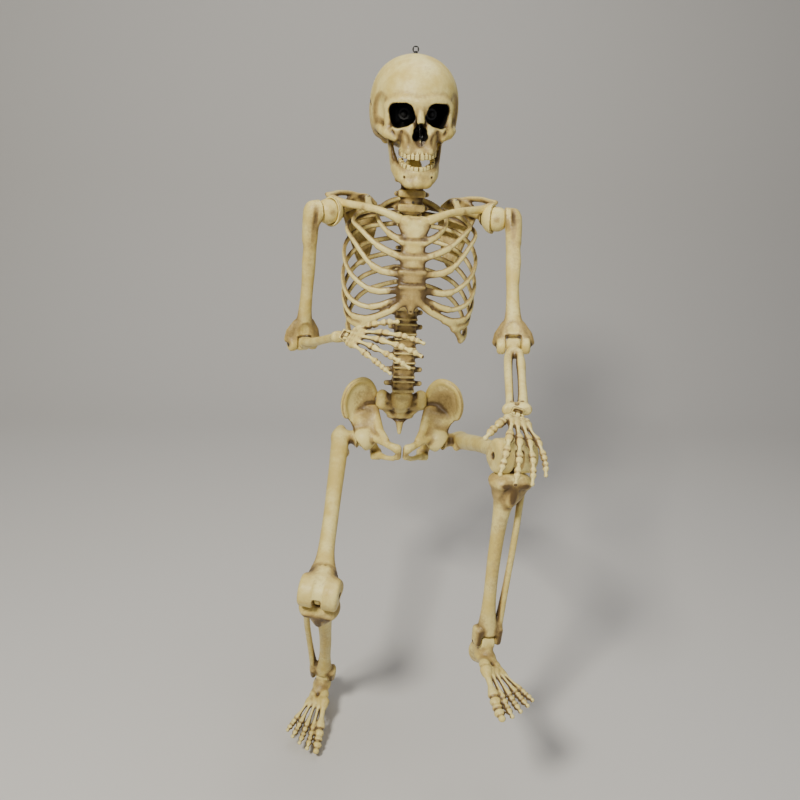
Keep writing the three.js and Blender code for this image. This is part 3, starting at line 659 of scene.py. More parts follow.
def knuckled(a, b, r, tip=False):
    """A finger or toe bone: waisted, with a wider knuckle at each end."""
    a, b = np.array(a, float), np.array(b, float)
    along = unit(b - a)
    a, b = a + along * r * 0.95, b - along * r * (0.15 if tip else 0.95)
    places = (0, 0.12, 0.35, 0.65, 0.88, 1.0)
    sizes = (1.3, 1.16, 0.66, 0.62, 1.0, 1.2) if not tip else (1.28, 1.0, 0.64, 0.6, 0.86, 0.55)
    return limb([[*(a + (b - a) * t), r * s, r * s * 0.9] for t, s in zip(places, sizes)])


def hand(side, q):
    clay = Clay([-82, -12, -152], [82, 118, 8], FINE)
    half = 3.6 + GAP
    for s in (-1, 1):
        clay.add(drum([s * (half + 2.6), 0, 0], WRIST_R, 2.6, 1.2), 1)
        clay.add(brick([s * (half + 2.6), 0, -5], [2.6, 4, 5.5], 1.2), 1.5)
    for row, (z, width) in enumerate(((-13, 13), (-21, 15))):
        for i in range(4):
            x = (i / 3 * 2 - 1) * width
            clay.add(blob([x, 0.5 * row, z], [5.6, 6.4, 5.2]), 2.5)
    clay.add(brick([0, 0, -15], [13, 4, 8], 3), 3)
    for finger in FINGERS:
        splay = math.radians(-q * finger["splay"])
        turn = np.array(Matrix.Rotation(splay, 3, "Y"))
        point = np.array([-q * finger["across"], 0, finger["start"]])
        bend = 0.0
        last = len(finger["lengths"]) - 1
        for i, (length, curl) in enumerate(zip(finger["lengths"], CURLS)):
            bend += math.radians(curl)
            step = turn @ np.array([0, math.sin(bend), -math.cos(bend)]) * length
            size = finger["r"] * (1.16 - 0.1 * i)
            clay.add(knuckled(point, point + step, size, i == last), 1.2)
            point = point + step
    clay.dig(brick([0, 0, 3], [half, 20, 12], 1), 1)
    twist = axis(f"wrist_twist_{side}")
    cross = np.cross(twist, axis(f"wrist_bend_{side}"))
    bend = math.radians(HAND_BEND[side])
    up = twist * math.cos(bend) - cross * math.sin(bend)
    matrix = placed(spot(f"wrist_bend_{side}"), axis(f"wrist_bend_{side}"), up)
    make_piece(f"hand_bones_{side}", clay, matrix, f"hand_{side}", [f"hand_{side}"])


def wrist_knuckle(side):
    clay = Clay([-11, -11, -6], [11, 11, 12], 1.2)
    clay.add(brick([0, 0, 9.4], [9.6, 8.8, 2.2], 1.6))
    clay.add(brick([0, 0, 4], [3.4, 4.2, 5], 0.8), 1)
    clay.add(drum([0, 0, 0], WRIST_R, 3.4, 0.8), 1)
    twist = axis(f"wrist_twist_{side}")
    matrix = placed(spot(f"wrist_bend_{side}"), axis(f"wrist_bend_{side}"), twist)
    make_piece(f"wrist_{side}", clay, matrix, f"wrist_{side}", [f"wrist_knuckle_{side}"])


# ---------------------------------------------------------------- legs
HIP_BALL = 16.5
KNEE_R = 27.0
KNEE_TONGUE = 6.0
KNEE_HALF = 33.0
ANKLE_TONGUE = 11.5
ANKLE_HALF = 23.0


def hip_ball(side):
    clay = Clay([-18, -18, -18], [18, 18, 18], FINE)
    clay.add(blob([0, 0, 0], HIP_BALL))
    matrix = placed(spot(f"hip_swing_{side}"), X_AXIS, Z_AXIS)
    make_piece(f"hip_ball_{side}_bone", clay, matrix, f"hip_ball_{side}", [f"hip_ball_{side}"])


def femur(side, q):
    end = -span(f"hip_spread_{side}", f"knee_bend_{side}")
    clay = Clay([-66, -34, end - 30], [66, 34, 28])
    clay.bar([[q * 14, 0, 0, 14], [q * 26, 0, -2, 12.5], [q * 44, 0, -8, 16]])
    clay.add(blob([0, 0, 0], HIP_BALL + SOCKET), 5)
    clay.dig(blob([0, 0, 0], HIP_BALL + LOOSE), 1)
    clay.dig(brick([-q * 22, 0, 0], [30, 60, 60], 1), 1.5)
    clay.add(blob([q * 47, 2, 4], [12, 15, 19]), 7)
    clay.add(blob([q * 26, 12, -34], [6, 7, 9]), 7)
    shaft = [
        [q * 43, 0, -8, 17, 16], [q * 39, 0, -40, 16.5, 15.5], [q * 33, -1, -80, 15.6, 15],
        [q * 25, -3, -140, 14.4, 14], [q * 17, -3, -200, 13.6, 13.4], [q * 10, -1, -260, 14, 12.8],
        [q * 6, 0, -290, 17, 13], [q * 3, 0, -315, 24, 15], [0, 0, end + 16, 29, 17],
    ]
    clay.bar(smooth_curve(shaft, 3), 7)
    side_x = KNEE_TONGUE + GAP
    width = (KNEE_HALF - side_x) / 2
    for s in (-1, 1):
        clay.add(drum([s * (side_x + width), 0, end], KNEE_R, width, 7), 7)
        clay.add(blob([s * 29, 2, end + 14], [6, 11, 11]), 6)
    clay.add(drum([0, 0, end], KNEE_R - 1.5, side_x + 8, 3), 4)
    clay.bar([[0, -13, end + 34, 16, 9], [0, -17, end + 16, 20, 8], [0, -20, end + 6, 17, 6]], 7)
    clay.groove([[0, -36, end + 26, 6], [0, -36, end + 12, 5]], 8)
    clay.dig(blob([0, 24, end + 34], [13, 10, 20]), 7)
    for i in range(5):
        clay.groove([[6 * i - 12, -15.5, end + 66, 0.8], [9 * i - 18, -19, end + 40, 1.6]], 2.5)
    clay.dig(drum([0, 0, end], 21.2, side_x, 1), 1)
    clay.dig(brick([0, 22, end - 22], [side_x, 31, 24], 2.5), 2)
    clay.dig(brick([0, 32, end + 8], [side_x, 30, 22], 2.5), 2)
    clay.bore([0, 0, end], KNEE_PIN_HOLE)
    matrix = hanging(f"hip_spread_{side}", f"knee_bend_{side}", f"knee_bend_{side}")
    make_piece(f"thigh_bone_{side}", clay, matrix, f"thigh_{side}", [f"femur_{side}"])


def shin(side, q):
    end = -span(f"knee_bend_{side}", f"ankle_bend_{side}")
    top = -KNEE_R - 1.6
    clay = Clay([-40, -26, end - 14], [40, 26, 22])
    clay.add(drum([0, 0, 0], 20, KNEE_TONGUE - 0.2, 3))
    clay.add(brick([0, 4, -20], [KNEE_TONGUE - 0.2, 7.5, 13], 2), 2)
    tibia = [
        [0, -4, top - 15, 32, 22], [-q * 2, -4, top - 30, 26, 20], [-q * 5, -1, top - 50, 16, 15],
        [-q * 7, -1, -116, 11.6, 12.6], [-q * 7, 0, -180, 10.4, 11.4], [-q * 5, 0, -240, 10.4, 10.6],
        [-q * 3, 0, -280, 13.5, 12], [0, 0, end + 18, 20, 13.5],
    ]
    clay.bar(smooth_curve(tibia, 3), 5)
    for s in (-1, 1):
        clay.add(blob([s * 17.5, -4, top - 12], [17, 24, 12]), 5)
        clay.groove([[s * 13, -26, top - 22, 3], [s * 18, -20, top - 38, 3]], 6)
    clay.add(blob([-q * 2, -20, top - 34], [8, 8, 15]), 8)
    fibula = [
        [q * 24, 6, top - 24, 8, 8], [q * 27, 7, top - 52, 5.8, 5.8], [q * 27, 7, -150, 5.4, 5.6],
        [q * 23, 5, -230, 5.6, 5.6], [q * 18, 2, end + 26, 7.4, 7.4],
    ]
    clay.bar(smooth_curve(fibula, 3), 4)
    inner = ANKLE_TONGUE + GAP
    width = (ANKLE_HALF - inner) / 2
    for s in (-1, 1):
        clay.bar([[s * (inner + width), 0, end + 22, 8, 13], [s * (inner + width), 0, end + 2, 7, 13]], 3)
    clay.dig(brick([0, 0, end - 4], [inner, 60, 18.5], 2), 2)
    clay.bore([0, 0, end], PIN_HOLE)
    clay.bore([0, 0, 0], KNEE_PIN_HOLE)
    matrix = hanging(f"knee_bend_{side}", f"knee_bend_{side}", f"ankle_bend_{side}")
    make_piece(f"shin_bones_{side}", clay, matrix, f"shin_{side}", [f"shin_{side}"], even_wash_and_shade(0.04))
    return matrix


# Across the foot towards the big toe, degrees of splay, bone lengths and radius.
TOES = (
    dict(across=13, splay=-5, lengths=(62, 24, 20), r=6.6),
    dict(across=6, splay=0.5, lengths=(66, 20, 18), r=4.6),
    dict(across=-1, splay=6, lengths=(62, 19, 16), r=4.4),
    dict(across=-8, splay=12, lengths=(57, 17, 15), r=4.3),
    dict(across=-14, splay=18, lengths=(52, 15, 13), r=4.2),
)
TOE_DROPS = (0.36, 0.3, 0.12)


def foot(side, q, shin_matrix):
    clay = Clay([-46, -146, -64], [46, 66, 16], FINE)
    clay.add(drum([0, 0, 0], 12, ANKLE_TONGUE, 3))
    clay.bar([[0, 0, -4, 11, 12], [0, -2, -16, 12, 14]], 4)
    clay.add(blob([0, -2, -25], [17, 24, 10]), 6)
    clay.bar([[0, 6, -27, 14, 14], [q * 1, 24, -33, 13, 17], [q * 2, 40, -38, 13, 18]], 6)
    clay.add(blob([-q * 10, -26, -27], [9, 13, 9]), 5)
    clay.add(blob([q * 9, -24, -32], [9, 14, 8]), 5)
    for i in range(4):
        clay.add(blob([-q * (13 - 9 * i), -38, -29 - 2.2 * i], [6, 10, 7]), 4)
    for toe in TOES:
        outward = math.radians(toe["splay"])
        point = np.array([-q * toe["across"], -34, -26 - abs(toe["across"] - 13) * 0.35])
        last = len(toe["lengths"]) - 1
        for i, length in enumerate(toe["lengths"]):
            drop = TOE_DROPS[i] * (1 - 0.02 * (13 - toe["across"]))
            flat = math.sqrt(1 - drop**2) * length
            step = np.array([q * math.sin(outward) * flat, -math.cos(outward) * flat, -drop * length])
            clay.add(knuckled(point, point + step, toe["r"] * (1.15 - 0.06 * i), i == last), 1.5)
            point = point + step
    clay.groove([[-q * 16, 14, -36, 4], [-q * 15, 34, -40, 4]], 6)
    clay.bore([0, 0, 0], PIN_HOLE)
    matrix = tipped(shin_matrix, -ANKLE_BEND[side])
    matrix[:3, 3] = spot(f"ankle_bend_{side}") * MM
    make_piece(f"foot_bones_{side}", clay, matrix, f"foot_{side}", [f"foot_{side}"])


# ---------------------------------------------------------------- rib cage
TRUNK_Y = 2.0
TRUNK_DEPTH = 71.0
CORNER = 0.82  # below 1, a rib's plan is squarer than an ellipse
RIB_SEAM = 98.0  # degrees round from the breast bone to where front and back halves meet
# Each rib's half-width, and its height at degrees round from the breast bone.
RIBS = (
    (62, [[14, 429], [30, 436], [60, 452], [90, 466], [135, 486], [172, 498]]),
    (106, [[6, 401], [30, 418], [60, 446], [90, 456], [135, 474], [172, 484]]),
    (117, [[6, 372], [30, 381], [60, 424], [90, 444], [135, 460], [172, 470]]),
    (121, [[6, 345], [30, 341], [60, 366], [90, 400], [135, 438], [172, 450]]),
    (122, [[4, 331], [30, 311], [60, 323], [90, 358], [135, 406], [172, 424]]),
    (120, [[27, 292], [40, 289], [60, 294], [90, 326], [135, 376], [172, 396]]),
    (116, [[40, 276], [60, 280], [90, 300], [135, 347], [172, 368]]),
    (110, [[60, 252], [75, 256], [90, 272], [135, 318], [172, 339]]),
)


def rib_point(rib, degrees, q):
    half, route = rib
    fine = smooth_curve(route, 6)
    height = np.interp(degrees, fine[:, 0], fine[:, 1])
    a = math.radians(degrees)
    out = max(math.sin(a), 0) ** CORNER
    back = -math.copysign(abs(math.cos(a)) ** CORNER, math.cos(a))
    return [q * half * out, TRUNK_Y + TRUNK_DEPTH * back, height]


def rib_limb(rib, start, end, q, tall=5.0, thick=3.6):
    count = max(3, round((end - start) / 8))
    stations = [start + (end - start) * i / count for i in range(count + 1)]
    return limb([[*rib_point(rib, d, q), tall, thick] for d in stations], Z_AXIS)


def rib_cage_front():
    clay = Clay([-132, -92, 238], [132, 24, 484])
    for q in (-1, 1):
        for rib in RIBS:
            start = rib[1][0][0]
            clay.add(rib_limb(rib, start, RIB_SEAM - 1, q), 3)
            clay.add(rib_limb(rib, start, start + 26, q, 6.0, 4.4), 3)
        ends = [rib_point(rib, rib[1][0][0] + 2, q) for rib in RIBS[5:]]
        arch = [[q * 10, -76, 329], [q * 34, -73, 309], *ends]
        clay.bar([[*p, 6.6, 4.6] for p in smooth_curve(arch, 4)], 4, Z_AXIS)
    clay.bar([[0, -58, 467, 28, 6.5], [0, -59, 455, 29, 7.5], [0, -61, 441, 23, 7], [0, -62, 434, 22, 7]], 4)
    for s in (-1, 1):
        clay.bar([[s * 12, -59, 462, 6.5], [s * 25, -57, 466, 6]], 5)
    body = [
        [0, -63, 430, 22, 7], [0, -65, 412, 21, 7], [0, -68, 388, 22.5, 7.5], [0, -71, 362, 24, 7.5],
        [0, -73, 342, 27, 8], [0, -74, 329, 22, 7], [0, -74, 314, 9, 5.5], [0, -73, 306, 6, 4],
    ]
    clay.bar(smooth_curve(body, 3), 4)
    clay.groove([[-5, -64, 476, 6], [5, -64, 476, 6]], 6, Y_AXIS)
    for z in (434, 408, 383, 357):
        front = -80.5 + (z - 357) * 0.13
        clay.groove([[-23, front, z, 2.4], [0, front, z - 2, 2.8], [23, front, z, 2.4]], 3, Y_AXIS)
        clay.bar([[-21, front + 3.5, z - 6, 3.4], [21, front + 3.5, z - 6, 3.4]], 4, Y_AXIS)
    for s in (-1, 1):
        for rib in RIBS[1:5]:
            x, y, z = rib_point(rib, rib[1][0][0] + 10, s)
            clay.groove([[x, y - 6, z + 8, 1.2], [x, y - 6, z - 8, 1.2]], 3)
    clay.groove([[0, -82, 308, 1.3], [0, -64, 308, 1.3]], 1)

    def wash_and_shade(points):
        """The lower breast bone is browner than the rest."""
        middle = np.clip((34 - np.abs(points[:, 0])) / 14, 0, 1)
        low = np.clip((424 - points[:, 2]) / 60, 0, 1)
        return 0.17 * middle * low * np.clip((-52 - points[:, 1]) / 8, 0, 1)

    make_piece("rib_cage_front_bone", clay, TRUNK, "torso", ["rib_cage_front"], wash_and_shade)


def rib_cage_back():
    clay = Clay([-132, -12, 256], [132, 100, 512])
    for q in (-1, 1):
        for rib in RIBS:
            clay.add(rib_limb(rib, RIB_SEAM + 1, 180, q), 4)
    clay.bar([[0, 28, 309, 15, 14], [0, 40, 365, 14.5, 14], [0, 47, 420, 13.5, 13], [0, 43, 466, 13, 12]], 3)
    clay.bar([[0, 58, 326, 5, 14], [0, 66, 380, 5, 13], [0, 68, 440, 5, 12], [0, 66, 505, 5, 9]], 5)
    for i in range(8):
        z = 322 + 21 * i
        y = 33 + 15 * math.sin(math.pi * (z - 300) / 300)
        clay.groove([[-16, y - 15, z + 10, 2], [16, y - 15, z + 10, 2]], 3, Y_AXIS)
        clay.bar([[-20, y + 14, z, 4], [20, y + 14, z, 4]], 5)
        clay.bar([[0, y + 26, z, 4], [0, y + 42, z - 12, 3.4]], 5)
    # darkened all over, partly as painted shade, since the back ribs lie behind the front ones
    make_piece("rib_cage_back_bone", clay, TRUNK, "torso", ["rib_cage_back"], even_wash_and_shade(0.07))


# ---------------------------------------------------------------- spine, neck and pelvis
def lumbar_spine():
    low, pitch, count = 138.0, 27.3, 6
    clay = Clay([-40, -16, 130], [40, 66, 308])
    for i in range(count):
        z = low + pitch * (i + 0.5)
        y = 9 + 10 * ((z - low) / (pitch * count)) ** 2
        clay.bar([[0, y, z - 9, 19.5, 17], [0, y, z + 9, 19.5, 17]], 2)
        for edge in (-9.4, 9.4):
            clay.add(brick([0, y, z + edge], [21.5, 19, 2.6], 2.4), 2.5)
        clay.groove([[-20, y - 19, z, 3.4], [20, y - 19, z, 3.4]], 5, Y_AXIS)
        reach = 33 - i
        for s in (-1, 1):
            clay.bar([[s * 8, y + 8, z, 6], [s * reach, y + 6, z + 1, 4.2, 5]], 5)
        clay.bar([[0, y + 12, z, 5, 8], [0, y + 34, z - 6, 3, 7]], 5)
    clay.bar([[0, 9, low + 3, 16, 15], [0, 19, low + pitch * count - 3, 14.5, 14]], 1)
    # darkened all over, partly as painted shade, since the spine sits set back inside the trunk
    make_piece("lumbar_bone", clay, TRUNK, "torso", ["lumbar_spine"], even_wash_and_shade(0.09))


def neck_vertebrae():
    _, y, nod = in_trunk("neck_turn")
    top = nod - 35
    lowest = 482
    clay = Clay([-36, y - 20, 470], [36, y + 34, top + 4], FINE)
    for i in range(3):
        z = lowest + (top - 9 - lowest) * i / 2
        clay.add(brick([0, y, z], [25, 16, 7], 4.5), 1.5)
        clay.bar([[-28, y + 1, z - 1, 4.6, 6], [28, y + 1, z - 1, 4.6, 6]], 3, Z_AXIS)
        clay.add(blob([0, y - 12, z], [9, 4, 7]), 4)
        clay.bar([[0, y + 8, z, 4], [0, y + 25, z - 5, 4]], 5)
    clay.bar([[0, y, 480, 20.5, 13], [0, y, top - 11, 20.5, 13]], 3)
    # darkened all over, partly as painted shade, since the neck lies under the skull
    make_piece("neck_bones", clay, TRUNK, "torso", ["neck_vertebrae"], even_wash_and_shade(0.07))


def sacrum():
    clay = Clay([-52, -2, 32], [52, 58, 142])
    clay.bar([[0, 15, 127, 23, 15], [0, 19, 113, 21, 14], [0, 33, 92, 15, 9], [0, 39, 72, 12, 6]], 5)
    for s in (-1, 1):
        clay.bar([[s * 22, 24, 118, 9], [s * 37, 21, 126, 12], [s * 39, 22, 108, 11]], 4)
        clay.bar([[s * 36, 26, 106, 8], [s * 24, 33, 90, 7], [s * 13, 37, 76, 5]], 5)
        clay.bar([[s * 12, 28, 106, 10], [s * 30, 26, 106, 10]], 5)
    clay.bar([[0, 39, 72, 11, 6], [0, 39, 60, 7, 5], [0, 36, 44, 4, 4]], 4)
    for s in (-1, 1):
        for i in range(3):
            clay.dig(blob([s * (15 - 2.5 * i), 16 + 6 * i, 100 - 12 * i], [1.8, 3, 1.8]), 2)
    clay.bar([[-21, 37, 80, 5.5], [21, 37, 80, 5.5]], 4)
    for z in (100, 72):
        clay.groove([[-14, 18 + (113 - z) * 0.4, z, 1.8], [14, 18 + (113 - z) * 0.4, z, 1.8]], 4, Y_AXIS)
    # darkened all over, partly as painted shade, since the sacrum sits back between the hip bones
    make_piece("sacrum_bone", clay, PELVIS, "torso", ["sacrum"], even_wash_and_shade(0.05))


# The wing of the hip bone, seen from the front: distance out and height.
WING = [
    [50, 96], [50, 122], [58, 146], [72, 160], [90, 159], [104, 147],
    [111, 126], [111, 108], [106, 92], [97, 80], [88, 68], [70, 58], [56, 66],
]


def hip_bone(side, q):
    centre = np.array([q * 72, -9, 48.0])
    outline = smooth_curve(WING + [WING[0]], 4)[:-1]

    def depth_at(x, z):
        out = q * x
        dish = 1 - ((out - 78) / 40) ** 2 - ((z - 118) / 52) ** 2
        return 22 - 0.62 * (out - 50) + 9 * dish

    clay = Clay([q * 2, -80, -4], [q * 122, 62, 172])
    clay.add(sheet([[q * x, z] for x, z in outline], depth_at, 3.4), 3)

    def bearing(p):
        return math.atan2(p[1] - 110, q * p[0] - 66)

    crest = sorted([[q * x, z] for x, z in outline if z > 92 and x > 50], key=bearing)
    ordered = [p for p in crest if bearing(p) > -0.8]
    clay.bar([[x, depth_at(x, z), z, 5.6] for x, z in ordered], 5)
    clay.bar([[q * 66, 4, 54, 13, 10], [q * 72, 8, 74, 15, 9], [q * 80, 6, 92, 16, 6]], 8)
    clay.add(blob(centre, HIP_BALL + 7.5), 8)
    clay.bar([[q * 52, 14, 98, 8], [q * 47, 2, 82, 8], [q * 42, -16, 67, 8.5], [q * 31, -37, 57, 7]], 7)
    clay.bar([[q * 62, 13, 104, 13, 5], [q * 60, 4, 82, 15, 7], [q * 54, -10, 62, 15, 9]], 7)
    clay.bar([[q * 86, 4, 88, 12, 7], [q * 78, 0, 72, 14, 9]], 7)
    clay.bar([[q * 56, -18, 56, 9], [q * 34, -40, 53, 6.5], [q * 11, -57, 47, 7.5]], 5)
    clay.bar([[q * 20, -54, 52, 5], [q * 12, -59, 49, 6.5]], 4)
    clay.bar([[q * 9, -58, 48, 7.5, 8], [q * 6.6, -56, 38, 5.6, 7], [q * 7.4, -52, 29, 5.4, 6]], 4)
    clay.bar([[q * 7.4, -52, 30, 5.4], [q * 16, -42, 21, 4.8], [q * 28, -22, 14, 4.8], [q * 42, 2, 10, 7]], 4)
    clay.bar([[q * 58, 8, 44, 10], [q * 52, 12, 24, 9], [q * 46, 12, 11, 10]], 5)
    clay.add(brick([q * 46, 12, 8], [11, 16, 8], 5), 4)
    clay.dig(blob(centre, HIP_BALL + LOOSE), 1)
    away = unit([q * 0.8, -0.1, -0.6])
    side_axis = unit(np.cross([0, 1, 0], away))
    axes = [side_axis, np.cross(away, side_axis), away]
    clay.dig(brick(centre + away * 41, [40, 40, 30], 1, axes), 1.5)
    clay.dig(blob([q * 34, -6, 34], [13, 30, 11]), 3)
    clay.dig(brick([0, 0, -20], [200, 200, 20], 0.5), 1)
    clay.dig(brick([0, 0, 50], [1.0, 200, 200], 0.5), 1)

    def wash_and_shade(points):
        """The middle of the wing is browner than its rim, and the left wing is darkened twice as much: that extra
        is painted shade, as its inside faces away from the key light.
        """
        out, height = q * points[:, 0], points[:, 2]
        middle = 1 - np.hypot((out - (84 if q > 0 else 76)) / 30, (height - 122) / 36)
        return (0.3 if q > 0 else 0.15) * np.clip(middle * 1.6, 0, 1)

    make_piece(f"hip_bone_{side}_bone", clay, PELVIS, "torso", [f"hip_bone_{side}"], wash_and_shade)


# ---------------------------------------------------------------- shoulders
def clavicle(side, q):
    clay = Clay([q * 18, -72, 456], [q * 162, 34, 516], FINE)
    route = [
        [26, -57, 466, 9, 7.5], [38, -56, 471, 7.5, 6.6], [60, -51, 479, 6.4, 6], [92, -32, 484, 6.6, 6],
        [124, -8, 487, 7, 6], [147, 7, 493, 8.5, 5.5],
    ]
    clay.bar([[q * p[0], *p[1:]] for p in smooth_curve(route, 4)], across=Z_AXIS)
    clay.bar([[q * 79, -40, 482, 8, 5], [q * 80, -5, 490, 6, 4.5], [q * 80, 22, 496, 7, 4.5]], 5)
    clay.groove([[q * 26, -68, 470, 2.5], [q * 36, -66, 474, 1.5]], 3)
    make_piece(f"clavicle_{side}_bone", clay, TRUNK, "torso", [f"clavicle_{side}"])


# The shoulder blade, seen from behind: distance out and height.
BLADE = [
    [64, 484], [82, 498], [110, 494], [124, 476], [117, 448], [105, 412],
    [93, 380], [84, 371], [75, 384], [67, 420], [61, 456],
]


def scapula(side, q):
    x, y, z = in_trunk(f"shoulder_turn_{side}")
    centre = np.array([x, y, z])
    outline = smooth_curve(BLADE + [BLADE[0]], 4)[:-1]

    def depth_at(across, height):
        out = q * across
        dish = 1 - ((out - 92) / 34) ** 2 - ((height - 436) / 66) ** 2
        return 90 - 0.45 * (out - 60) + 5 * dish

    clay = Clay([q * 54, -24, 362], [q * 186, 108, 516])
    clay.add(sheet([[q * a, b] for a, b in outline], depth_at, 2.4), 3)
    rim = [[q * a, depth_at(q * a, b), b, 3.8] for a, b in outline]
    clay.bar(rim + rim[:1], 4)
    clay.bar([[q * 131, 4, 473, 8], [q * 120, 36, 476, 7.5], [q * 112, 64, 478, 8]], 6)
    clay.bar([[q * 80, 25, 497.5, 6, 4], [q * 81, 55, 497, 5.5, 4], [q * 82, 84, 492, 6, 4.5]], 4)
    spine = [
        [q * 70, 90, 480, 4], [q * 100, 78, 498, 5], [q * 128, 54, 502, 6],
        [q * 144, 30, 499, 8], [q * 151, 17, 498, 8],
    ]
    clay.bar([[*p, 5] for p in smooth_curve(spine, 3)], 5, (0, 1, 0.2))
    outer = SHOULDER_BALL + SOCKET + 4 * GAP
    clay.add(blob(centre + unit([-q, 0.62, 0.05]) * 16, 18), 6)
    clay.dig(blob(centre, outer), 1)
    square = [unit([q, -0.62, 0]), unit([0.62, q, 0]), Z_AXIS]
    clay.dig(brick(centre + [q * 25, -25, 0], [30, 40, 60], 4, square), 2)
    # darkened all over, partly as painted shade, since the blade lies behind the rib cage
    make_piece(f"scapula_{side}_bone", clay, TRUNK, "torso", [f"scapula_{side}"], even_wash_and_shade(0.08))


# ---------------------------------------------------------------- head
def head_frame():
    """The skull's frame, at its nodding axis.  The jaw's axis lies in front of and above it."""
    nod, jaw, across = spot("head_nod"), spot("jaw_open"), axis("jaw_open")
    forward_and_up = math.atan2(12, 34)
    run = unit(jaw - nod - (jaw - nod).dot(across) * across)
    square = np.cross(across, run)
    up = math.cos(forward_and_up) * run - math.sin(forward_and_up) * square
    return placed(nod, across, up)


HEAD = head_frame()
EYE = np.array([29.0, -62.0, 69.0])
SKULL_SPLIT = 6.0  # the two halves of the skull meet at this Y


def cranium(clay):
    clay.add(blob([0, 14, 88], [78.5, 94, 82.5]))
    for q in (-1, 1):
        clay.add(blob([q * 19, 14, 98], [55, 82, 64]), 8)
    clay.add(blob([0, -26, 100], [57, 53, 56]), 10)
    clay.add(blob([0, 58, 78], [60, 52, 58]), 10)
    for q in (-1, 1):
        clay.add(blob([q * 62, 26, 62], [15, 36, 34]), 14)
    for q in (-1, 1):
        clay.dig(blob([q * 71, -44, 66], [15, 30, 34]), 12)
    # the wavy line across the crown, and one down each temple
    for q in (-1, 1):
        crown = []
        for i in range(29):
            a = math.radians(2 + i * 3.2)
            wave = 1.6 * math.sin(i * 2.3) + 1.0 * math.sin(i * 4.1 + q)
            across, up = math.sin(a), math.cos(a)
            crown.append([q * 78 * across, -8 + wave - 8 * across, 88 + 83.5 * up + 0.4, 1.5])
        clay.groove(crown, 1.0)
        scale = []
        for i in range(15):
            a = math.radians(160 - 10 * i)
            wave = 1.4 * math.sin(i * 2.9)
            scale.append([q * 78.5, 22 + 36 * math.cos(a), 58 + 32 * math.sin(a) + wave, 1.3])
        clay.groove(scale, 1.0)


def face(clay):
    # cheek arch, cheek bone, brow and upper jaw
    for q in (-1, 1):
        arch = [
            [q * 40, -60, 34, 10], [q * 53, -50, 38, 10], [q * 62, -34, 43, 8],
            [q * 67, -14, 47, 5, 6.5], [q * 67, 8, 50, 5, 6], [q * 62, 20, 50, 7],
        ]
        clay.bar(arch, 8)
        clay.bar([[q * 51, -50, 44, 7], [q * 53, -50, 62, 6.5], [q * 51, -53, 80, 7.5]], 6)
        brow = [
            [q * 52, -52, 82, 7.5], [q * 40, -66, 90, 8], [q * 24, -74, 92, 8],
            [q * 9, -77, 89, 8], [0, -77, 87, 8],
        ]
        clay.bar(smooth_curve(brow, 3), 8)
        clay.bar([[q * 9, -76, 84, 6], [q * 10, -75, 66, 5.5], [q * 15, -76, 46, 7], [q * 22, -76, 34, 9]], 6)
        clay.bar([[q * 22, -72, 44, 7], [q * 40, -62, 44, 8]], 6)
        clay.bar([[q * 16, -66, 30, 15], [q * 18, -64, 14, 14]], 8)
        clay.bar([[q * 21, -76, 26, 4.5], [q * 19, -78, 8, 4.5]], 9)
    clay.bar([[0, -77, 84, 6], [0, -83, 69, 6], [0, -87, 58, 6.6]], 6)
    clay.bar([[0, -50, 20, 24, 24], [0, -52, 8, 27, 28], [0, -54, 3, 28.5, 29]], 8)
    # sockets and nose, painted black inside
    for q in (-1, 1):
        out = unit([q * 0.22, -1, 0.02])
        side = unit(np.cross([0, 0, 1], -out))
        tilt = math.radians(q * 11)
        up = unit(np.cross(-out, side))
        axes = [
            side * math.cos(tilt) + up * math.sin(tilt),
            out,
            up * math.cos(tilt) - side * math.sin(tilt),
        ]
        centre = EYE * [q, 1, 1]
        clay.dig(brick(centre - out * 14 - [q * 1.2, 0, 0], [22.2, 34, 20.8], 14, axes), 3, blacken=True)
        clay.dig(blob(centre - out * 24, [17, 20, 16], axes), 4, blacken=True)
        clay.groove([[q * 6.2, -94, 33, 7.2, 7], [q * 5.6, -56, 34, 5.5, 6]], 2, blacken=True)
        clay.groove([[q * 5.4, -98, 42, 6.4], [q * 4.2, -60, 42, 5]], 2, blacken=True)
        clay.dig(blob([q * 31, -83, 27], [8, 5, 9]), 12)
        clay.dig(blob([q * 31, -75, 41], [1.6, 4, 1.6]), 1.5)
        clay.groove([[q * 40, -74, 30, 2], [q * 47, -66, 42, 1.6]], 3)
    clay.groove([[0, -98, 50, 5], [0, -64, 49, 4]], 2, blacken=True)
    clay.bar([[0, -86, 24, 1.7], [0, -76, 40, 1.6], [0, -70, 52, 1.6]], 1.5)
    # below the cheek bones the skull is open, and the palate is hollow
    for q in (-1, 1):
        clay.groove([[q * 49, -44, 16, 13], [q * 50, -14, 20, 15], [q * 49, 6, 26, 12]], 6)
        clay.groove([[q * 56, -32, 30, 6], [q * 56, 0, 36, 7]], 5)
    clay.dig(brick([0, -60, -28], [60, 44, 30.5], 2), 2)
    clay.dig(blob([0, -46, 0], [19, 26, 11]), 4)


def skull_base(clay):
    clay.dig(brick([0, 0, -8], [22.5, 21, 21], 4), 3)
    for q in (-1, 1):
        clay.bar([[q * 53, 22, 40, 11], [q * 50, 20, 24, 7]], 6)
        clay.add(brick([q * 14, 0, 8], [3, 8, 12], 1.5), 2)


def arch_place(degrees, wide, deep, back):
    """A place on a dental arch, `degrees` round from the front, and which way is out."""
    a = math.radians(degrees)
    x, y = wide * math.sin(a), back - deep * math.cos(a)
    outward = unit([math.sin(a) / wide * deep, -math.cos(a), 0])
    return np.array([x, y]), outward


